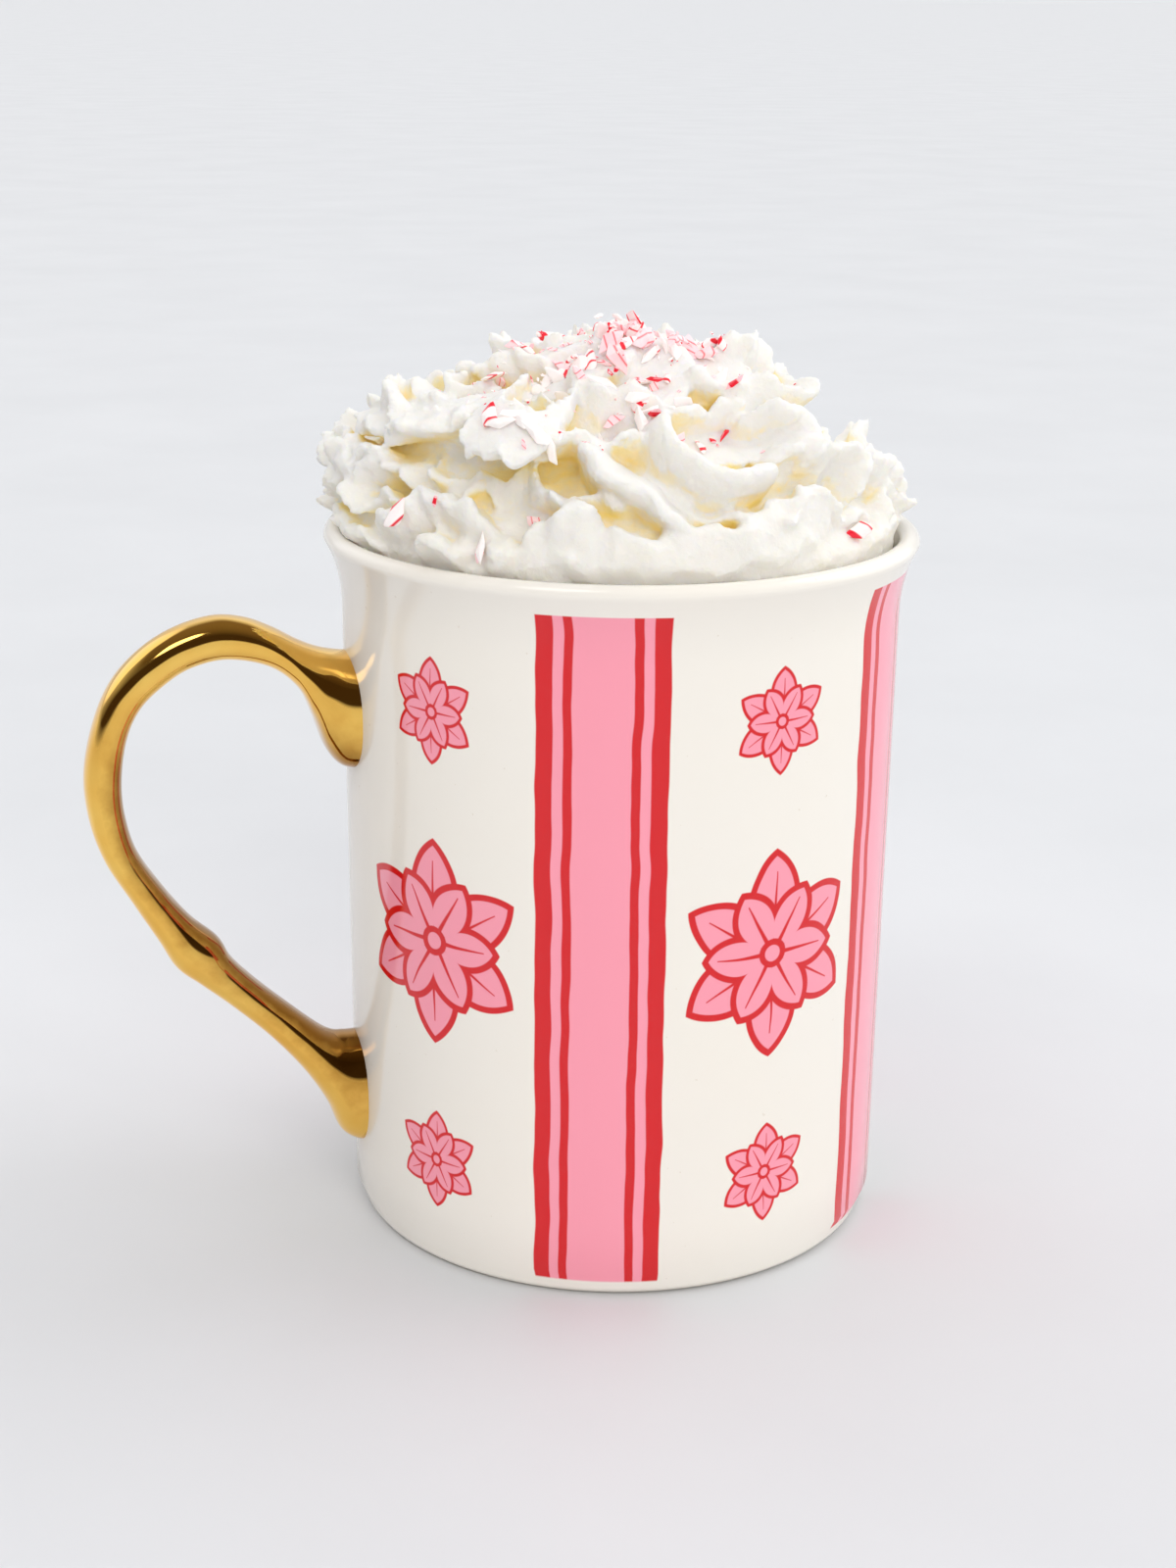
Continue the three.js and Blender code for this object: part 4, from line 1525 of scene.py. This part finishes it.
    def _mark_hollows(self, piece: bpy.types.Object, name: str) -> None:
        """Stores at each point how much of the sky over it other cream hides."""
        mesh = piece.data
        tree = BVHTree.FromObject(piece, bpy.context.evaluated_depsgraph_get())
        turns = math.pi * (3.0 - math.sqrt(5.0)) * np.arange(self.ray_count)
        shares = (np.arange(self.ray_count) + 0.5) / self.ray_count
        lean = np.sqrt(shares)
        fan = np.stack([lean * np.cos(turns), lean * np.sin(turns), np.sqrt(1 - shares)], axis=1)
        hidden = np.zeros(len(mesh.vertices), np.float32)
        for index, vertex in enumerate(mesh.vertices):
            turn = vertex.normal.to_track_quat("Z", "X").to_matrix()
            start = vertex.co + vertex.normal * (self.ray_start * MM)
            hits = [tree.ray_cast(start, turn @ Vector(ray), self.ray_length * MM)[0] for ray in fan]
            hidden[index] = sum(hit is not None for hit in hits) / self.ray_count
        layer = mesh.attributes.new(name, "FLOAT", "POINT")
        layer.data.foreach_set("value", hidden)


Spot = tuple[ShardKind, np.ndarray, np.ndarray, float]


@dataclass(frozen=True)
class Shard:
    """A shard on the cream: its kind, its middle in metres, its length in millimetres and its turn."""

    kind: ShardKind
    place: Vector
    length: float
    turn: tuple[float, float, float]


@dataclass
class CrushedCandy:
    """Crushed peppermint: shards over the crown and down the near side, and a few strays by the rim.

    Some shards are laid one by one, by their bearing, their rise from the heap's core and their length. The
    others and the crumbs are a seeded scatter.
    """

    cream: bpy.types.Object
    seed: int = 20
    count: int = 84
    spread: float = 19.0
    crowding: float = 0.75
    bearing: float = 248.0
    offset: float = 7.0
    drop_height: float = 200.0
    core_height: float = 103.0
    approach: float = 70.0
    standing: float = 0.16
    propped: float = 0.8
    stacking: float = 0.26
    lengths: tuple[float, float] = (2.4, 5.8)
    laid: tuple[tuple[ShardKind, tuple[tuple[float, float, float], ...]], ...] = (
        (ShardKind.WHITE, (
            (228, 39, 5.5), (232, 37, 6.0), (235, 35, 5.5), (238, 34, 5.0), (227, 36, 4.5),
            (220, 46, 5.5), (235, 50, 5.0), (245, 55, 5.5), (216, 55, 4.5), (220, 60, 5.0),
            (230, 63, 4.5), (278, 74, 4.5), (296, 71, 4.5), (228, 13, 4.5), (130, 30, 3.0),
        )),
        (ShardKind.STRIPED, (
            (220, 50, 3.0), (222, 38, 6.0), (222, 62, 3.5), (234, 67, 5.5), (275, 84, 4.5), (257, 59, 5.0),
            (260, 51, 4.0), (282, 41, 3.5), (208, 17, 6.5), (312, 13, 6.0), (20, 27, 4.0),
        )),
        (ShardKind.PINK, (
            (266, 87, 6.0), (247, 76, 5.0), (250, 67, 5.5), (198, 69, 2.0), (192, 55, 2.5), (237, 56, 3.5),
            (252, 48, 4.5), (270, 59, 3.0), (271, 38, 5.0), (314, 40, 2.0), (5, 65, 5.0), (234, 32, 2.0),
            (236, 19, 3.5), (227, 12, 3.0), (161, 32, 2.0), (75, 22, 3.5),
        )),
        (ShardKind.RED, (
            (194, 48, 2.5), (206, 51, 2.5), (234, 46, 1.5), (288, 43, 1.5), (294, 44, 2.5), (300, 53, 3.5),
            (314, 66, 3.0), (318, 52, 2.5), (276, 32, 2.0), (286, 30, 2.0), (217, 20, 2.0),
        )),
    )
    kinds: tuple[ShardKind, ...] = (
        ShardKind.WHITE,
        ShardKind.STRIPED,
        ShardKind.PINK,
        ShardKind.RED,
        ShardKind.WHITE,
        ShardKind.STRIPED,
        ShardKind.PINK,
    )
    red_share: float = 0.6
    tumble: float = 1.2
    leaning_every: int = 3
    patterns_per_kind: int = 8
    pattern_seed_step: int = 31
    kind_seed_step: int = 7
    corner_count: int = 11
    corner_reach: tuple[float, float] = (0.36, 0.5)
    corner_squash: tuple[float, float, float] = (1.0, 1.0, 0.8)
    section: tuple[float, float] = (0.45, 0.34)
    white_section: tuple[float, float] = (0.42, 0.3)
    section_growth: tuple[float, float] = (0.3, 0.14)
    tip_shift: float = 0.1
    chamfer: float = 0.03
    stripe_lean: tuple[float, float, float] = (1.0, 0.5, 0.25)
    crumbs: int = 170
    crumb_spread: float = 27.0
    crumb_lengths: tuple[float, float] = (0.6, 1.5)

    def build(self) -> None:
        """Scatters the shards, one piece for each kind."""
        shards = self._shards()
        for kind in ShardKind:
            piece = self._scatter(Peppermint(kind), [shard for shard in shards if shard.kind is kind])
            hand_in(piece)

    def _laid_spots(self) -> list[Spot]:
        """Aims each laid shard at the heap's core, by its bearing and its rise."""
        core = np.array([0.0, 0.0, self.core_height])
        spots: list[Spot] = []
        for kind, rows in self.laid:
            for bearing, rise, length in rows:
                outward = polar(bearing, math.cos(math.radians(rise)), math.sin(math.radians(rise)))
                spots.append((kind, core + outward * self.approach, -outward, length))
        return spots

    def _strewn_spots(self, draw: Iterator[float]) -> list[Spot]:
        """Draws where the strewn shards and the crumbs come straight down.

        Args:
            draw: The seeded numbers.

        Returns:
            The kind, start, way and length of each.
        """
        middle = polar(self.bearing, self.offset, self.drop_height)
        spots: list[Spot] = []
        for index in range(self.count + self.crumbs):
            bearing, share = 360.0 * next(draw), next(draw)
            least, most = self.lengths if index < self.count else self.crumb_lengths
            spread = self.spread if index < self.count else self.crumb_spread
            kind = self.kinds[index % len(self.kinds)]
            length = least + (most - least) * next(draw)
            if kind is ShardKind.RED:
                length *= self.red_share
            spot = middle + polar(bearing, spread * share**self.crowding, 0.0)
            spots.append((kind, spot, np.array([0.0, 0.0, -1.0]), length))
        return spots

    def _shards(self) -> list[Shard]:
        """Lets every shard come to rest, and leaves out those that miss the cream.

        Returns:
            The shards, the laid ones first.
        """
        draw = seeded(self.seed)
        laid = self._laid_spots()
        tree = BVHTree.FromObject(self.cream, bpy.context.evaluated_depsgraph_get())
        shards: list[Shard] = []
        for index, (kind, start, way, length) in enumerate(laid + self._strewn_spots(draw)):
            place, normal, _, _ = tree.ray_cast(Vector(start * MM), Vector(way))
            tilts = [(next(draw) - 0.5) * self.tumble for _ in range(2)]
            turn = Euler((*tilts, next(draw) * 2 * math.pi))
            if place is None:
                continue
            if index >= len(laid):
                place, normal = self._stacked(place, normal, shards)
            if index < len(laid) or index % self.leaning_every == 0:
                normal = (normal + Vector(polar(self.bearing, self.propped, 0.0))).normalized()
            lie = normal.to_track_quat("Z", "X").to_matrix() @ turn.to_matrix()
            middle = place + normal * (self.standing * length * MM)
            shards.append(Shard(kind, middle, length, tuple(lie.to_euler())))
        return shards

    def _stacked(self, place: Vector, normal: Vector, shards: Sequence[Shard]) -> tuple[Vector, Vector]:
        """Lifts a shard that falls on others so that it rests on them.

        Args:
            place: Where it meets the cream.
            normal: The cream's normal there.
            shards: The shards that lie already.

        Returns:
            Where it rests and the normal there.
        """
        for shard in shards:
            under = shard.place
            reach = self.stacking * shard.length * MM
            aside = math.hypot(place.x - under.x, place.y - under.y)
            if aside < reach and under.z + math.sqrt(reach**2 - aside**2) > place.z:
                place = Vector((place.x, place.y, under.z + math.sqrt(reach**2 - aside**2)))
                normal = (place - under).normalized()
        return place, normal

    def _patterns(self, finish: Peppermint) -> bpy.types.Collection:
        """Makes a few broken shapes of length 1, each with its own run of stripes."""
        group = bpy.data.collections.new(f"{finish.kind.value}_patterns")
        kind_seed = self.seed + self.kind_seed_step * list(ShardKind).index(finish.kind)
        for number in range(self.patterns_per_kind):
            rng = np.random.default_rng(kind_seed + self.pattern_seed_step * number)
            mesh = self._broken(f"{finish.kind.value}_shard_{number}", finish.kind, rng)
            heading = unit(rng.normal(size=3) * np.array(self.stripe_lean))
            layer = mesh.attributes.new(finish.stripe_name, "FLOAT", "POINT")
            layer.data.foreach_set("value", (points_of(mesh) @ heading).astype(np.float32))
            group.objects.link(bpy.data.objects.new(mesh.name, mesh))
        return group

    def _broken(self, name: str, kind: ShardKind, rng: np.random.Generator) -> bpy.types.Mesh:
        """Makes one broken shape: the chamfered hull of corners about a middle, with a tip at each end.

        Args:
            name: The mesh's name.
            kind: The kind, since white shards are flatter.
            rng: The seeded draw.

        Returns:
            The mesh, of length 1.
        """
        narrow, flat = self.white_section if kind is ShardKind.WHITE else self.section
        wider, thicker = self.section_growth
        size = np.array([1.0, rng.uniform(narrow, narrow + wider), rng.uniform(flat, flat + thicker)])
        ball = unit(rng.normal(size=(self.corner_count, 3)) * np.array(self.corner_squash))
        corners = ball * rng.uniform(*self.corner_reach, (self.corner_count, 1)) * size
        tips = np.array([[-0.5, 0.0, 0.0], [0.5, 0.0, 0.0]])
        corners[:2] = tips + rng.uniform(-self.tip_shift, self.tip_shift, (2, 3)) * size
        work = bmesh.new()
        for corner in corners:
            work.verts.new(corner)
        hull = bmesh.ops.convex_hull(work, input=work.verts)
        spare = hull["geom_interior"] + hull["geom_unused"]
        loose = {part for part in spare if isinstance(part, bmesh.types.BMVert)}
        bmesh.ops.delete(work, geom=list(loose), context="VERTS")
        edges = list(work.edges)
        bmesh.ops.bevel(
            work, geom=edges, offset=self.chamfer, segments=1, affect="EDGES", clamp_overlap=True
        )
        bmesh.ops.recalc_face_normals(work, faces=work.faces)
        mesh = bpy.data.meshes.new(name)
        work.to_mesh(mesh)
        work.free()
        move_points(mesh, np.clip(points_of(mesh), corners.min(axis=0), corners.max(axis=0)))
        return mesh

    def _scatter(self, finish: Peppermint, shards: Sequence[Shard]) -> bpy.types.Object:
        """Sets one kind's shards on their places.

        Args:
            finish: The kind's finish.
            shards: The shards of that kind.

        Returns:
            The piece.
        """
        mesh = bpy.data.meshes.new(f"peppermint_{finish.kind.value}")
        mesh.from_pydata([shard.place for shard in shards], [], [])
        lengths = mesh.attributes.new("length", "FLOAT", "POINT")
        lengths.data.foreach_set("value", [shard.length * MM for shard in shards])
        turns = mesh.attributes.new("turn", "FLOAT_VECTOR", "POINT")
        turns.data.foreach_set("vector", np.array([shard.turn for shard in shards], np.float32).ravel())
        piece = bpy.data.objects.new(mesh.name, mesh)
        bpy.context.scene.collection.objects.link(piece)
        patterns = self._patterns(finish)
        graph = GeometryGraph(f"scatter_{finish.kind.value}", {
            "Patterns": ("NodeSocketCollection", patterns),
            "Size": ("NodeSocketFloat", 1.0),
        })
        inputs = {"Collection": graph.given("Patterns"), "Separate Children": True, "Reset Children": True}
        shapes = graph.node("GeometryNodeCollectionInfo", None, inputs, "Instances")
        choice = graph.node("GeometryNodeInputIndex", None, None, "Index") % float(self.patterns_per_kind)
        inputs = {
            "Points": graph.given("Geometry"),
            "Instance": shapes,
            "Pick Instance": True,
            "Instance Index": choice,
            "Rotation": graph.named("turn", "FLOAT_VECTOR"),
            "Scale": graph.named("length", "FLOAT") * graph.given("Size"),
        }
        laid = graph.node("GeometryNodeInstanceOnPoints", None, inputs, "Instances")
        graph.run(piece, laid, finish.material())
        for shape in list(patterns.objects):
            bpy.data.objects.remove(shape)
        bpy.data.collections.remove(patterns)
        return piece


@dataclass
class Drink:
    """The hot chocolate itself, which keeps its CAD shape under the cream."""

    node: bpy.types.Object

    def build(self) -> None:
        """Dresses the CAD node."""
        self.node.data.materials.clear()
        self.node.data.materials.append(DrinkingChocolate().material())
        LOG.info("%s: dressed as packed", self.node.name)


@dataclass(frozen=True)
class Window:
    """A soft patch of light in the room: the way to it, its half breadth in degrees and its light."""

    way: tuple[float, float, float]
    breadth: float
    light: Colour


@dataclass(frozen=True)
class Lamp:
    """A broad far lamp: the way to it, its breadth in degrees, its strength and whether gloss mirrors it."""

    name: str
    way: tuple[float, float, float]
    breadth: float
    strength: float
    mirrored: bool


@dataclass
class Studio:
    """The pale surface, the soft light and the camera. Lengths are in metres and angles in degrees.

    Ways to a light are to the right, away from the camera and up.
    """

    camera_azimuth: float = -15.0
    camera_away: float = 0.3782
    camera_height: float = 0.1859
    camera_pitch: float = 17.43
    camera_yaw: float = -0.70
    camera_roll: float = 0.675
    frame_height_px: float = 1600.0
    focal_px: float = 2586.0
    sensor: float = 36.0
    nearest: float = 0.01
    top_half: float = 60.0
    wall: Colour = (0.05, 0.032, 0.018, 1.0)
    ceiling: Colour = (1.07, 1.09, 1.12, 1.0)
    ceiling_up: float = 0.75
    ceiling_away: float = 0.55
    ceiling_slope: float = 2.2
    ceiling_slope_in_gloss: float = 1.2
    ceiling_from: float = 0.1
    beam: Colour = (0.2, 0.15, 0.1, 1.0)
    beam_from: float = 0.42
    beam_fade: float = 0.3
    haze: Colour = (0.7, 0.72, 0.75, 1.0)
    haze_height: float = 0.1
    backdrop: Colour = (0.8, 0.82, 0.84, 1.0)
    windows: tuple[Window, ...] = (
        Window((0.85, 0.45, 0.42), 34.0, (1.45, 1.48, 1.5, 1.0)),
        Window((-0.7, 0.6, 0.4), 22.0, (1.2, 1.2, 1.25, 1.0)),
        Window((-0.3, -0.45, 0.84), 13.0, (3.6, 3.5, 3.4, 1.0)),
    )
    window_softness: float = 0.35
    lamps: tuple[Lamp, ...] = (
        Lamp("key", (0.7, 0.25, 0.6), 36.0, 0.36, True),
        Lamp("fill", (0.24, -0.95, 0.36), 44.0, 1.55, False),
    )

    def build(self) -> None:
        """Makes the surface, the lights and the camera."""
        self._surface()
        self._sky()
        self._lights()
        self._camera()

    def _towards(self, right: float, away: float, up: float) -> Vector:
        """A place given from the camera's side: to the right, away from the camera and up."""
        turn = Matrix.Rotation(math.radians(self.camera_azimuth), 3, "Z")
        return turn @ Vector((right, away, up))

    def _surface(self) -> None:
        """Makes the pale surface that the foot stands on."""
        half = self.top_half
        corners = [(-half, -half, 0.0), (half, -half, 0.0), (half, half, 0.0), (-half, half, 0.0)]
        mesh = bpy.data.meshes.new("pale_top")
        mesh.from_pydata(corners, [], [(0, 1, 2, 3)])
        top = bpy.data.objects.new("pale_top", mesh)
        bpy.context.scene.collection.objects.link(top)
        mesh.materials.append(PaleTop().material())

    def _sky(self) -> None:
        """Makes a soft room: a pale ceiling, dimmer walls, three windows and a plain backdrop."""
        world = bpy.data.worlds.new("soft_room")
        world.use_nodes = True
        bpy.context.scene.world = world
        graph = Graph(world.node_tree)
        way = graph.node("ShaderNodeTexCoord", None, None, "Generated")
        up = graph.node("ShaderNodeSeparateXYZ", None, {"Vector": way}, "Z")
        away = graph.dot(way, self._towards(0.0, 1.0, 0.0))
        mirrored = graph.node("ShaderNodeLightPath", None, None, "Is Glossy Ray")
        slope = self.ceiling_slope + (self.ceiling_slope_in_gloss - self.ceiling_slope) * mirrored
        rise = self.ceiling_up * up + self.ceiling_away * away
        share = (slope * rise - self.ceiling_from).clipped()
        beam = ((up - self.beam_from) / self.beam_fade).clipped() * mirrored
        overhead = graph.blend(beam, self.ceiling, self.beam)
        colour = graph.blend(share, self.wall, overhead)
        colour = graph.blend((1.0 - abs(up) / self.haze_height).clipped(), colour, self.haze)
        for window in self.windows:
            facing = graph.dot(way, self._towards(*window.way).normalized())
            edge = math.cos(math.radians(window.breadth))
            shown = ((facing - edge) / (self.window_softness * (1.0 - edge))).clipped()
            colour = graph.blend(shown, colour, window.light)
        seen = graph.node("ShaderNodeLightPath", None, None, "Is Camera Ray")
        colour = graph.blend(seen, colour, self.backdrop)
        back = graph.node("ShaderNodeBackground", None, {"Color": colour, "Strength": 1.0}, "Background")
        graph.node("ShaderNodeOutputWorld", None, {"Surface": back})

    def _lights(self) -> None:
        """Sets a broad key light on the right and a fill in front."""
        for lamp in self.lamps:
            light = bpy.data.lights.new(lamp.name, "SUN")
            light.angle = math.radians(lamp.breadth)
            light.energy = lamp.strength
            holder = bpy.data.objects.new(lamp.name, light)
            holder.visible_glossy = lamp.mirrored
            holder.rotation_euler = self._towards(*lamp.way).to_track_quat("Z", "Y").to_euler()
            bpy.context.scene.collection.objects.link(holder)

    def _camera(self) -> None:
        """Sets the camera at the photograph's place and angle."""
        lens = bpy.data.cameras.new("camera")
        lens.sensor_fit = "VERTICAL"
        lens.sensor_width = lens.sensor_height = self.sensor
        lens.lens = self.sensor * self.focal_px / self.frame_height_px
        lens.clip_start = self.nearest
        holder = bpy.data.objects.new("camera", lens)
        bpy.context.scene.collection.objects.link(holder)
        pitch, yaw = math.radians(self.camera_pitch), math.radians(self.camera_yaw)
        level = math.cos(pitch)
        ahead = self._towards(level * math.sin(yaw), level * math.cos(yaw), -math.sin(pitch))
        roll = Matrix.Rotation(math.radians(self.camera_roll), 3, "Z")
        holder.location = self._towards(0.0, -self.camera_away, self.camera_height)
        holder.rotation_euler = (ahead.to_track_quat("-Z", "Y").to_matrix() @ roll).to_euler()
        bpy.context.scene.camera = holder
        bpy.context.scene.view_settings.view_transform = "Standard"


def main() -> None:
    """Builds the drink piece by piece and reports each one."""
    logging.basicConfig(level=logging.INFO, format="%(name)s: %(message)s")
    Studio().build()
    mug = Mug()
    mug.build()
    Drink(frame["nodes"]["hot_chocolate"]).build()
    cream = WhippedCream(mug).build()
    CrushedCandy(cream).build()


if __name__ == "__main__":
    main()
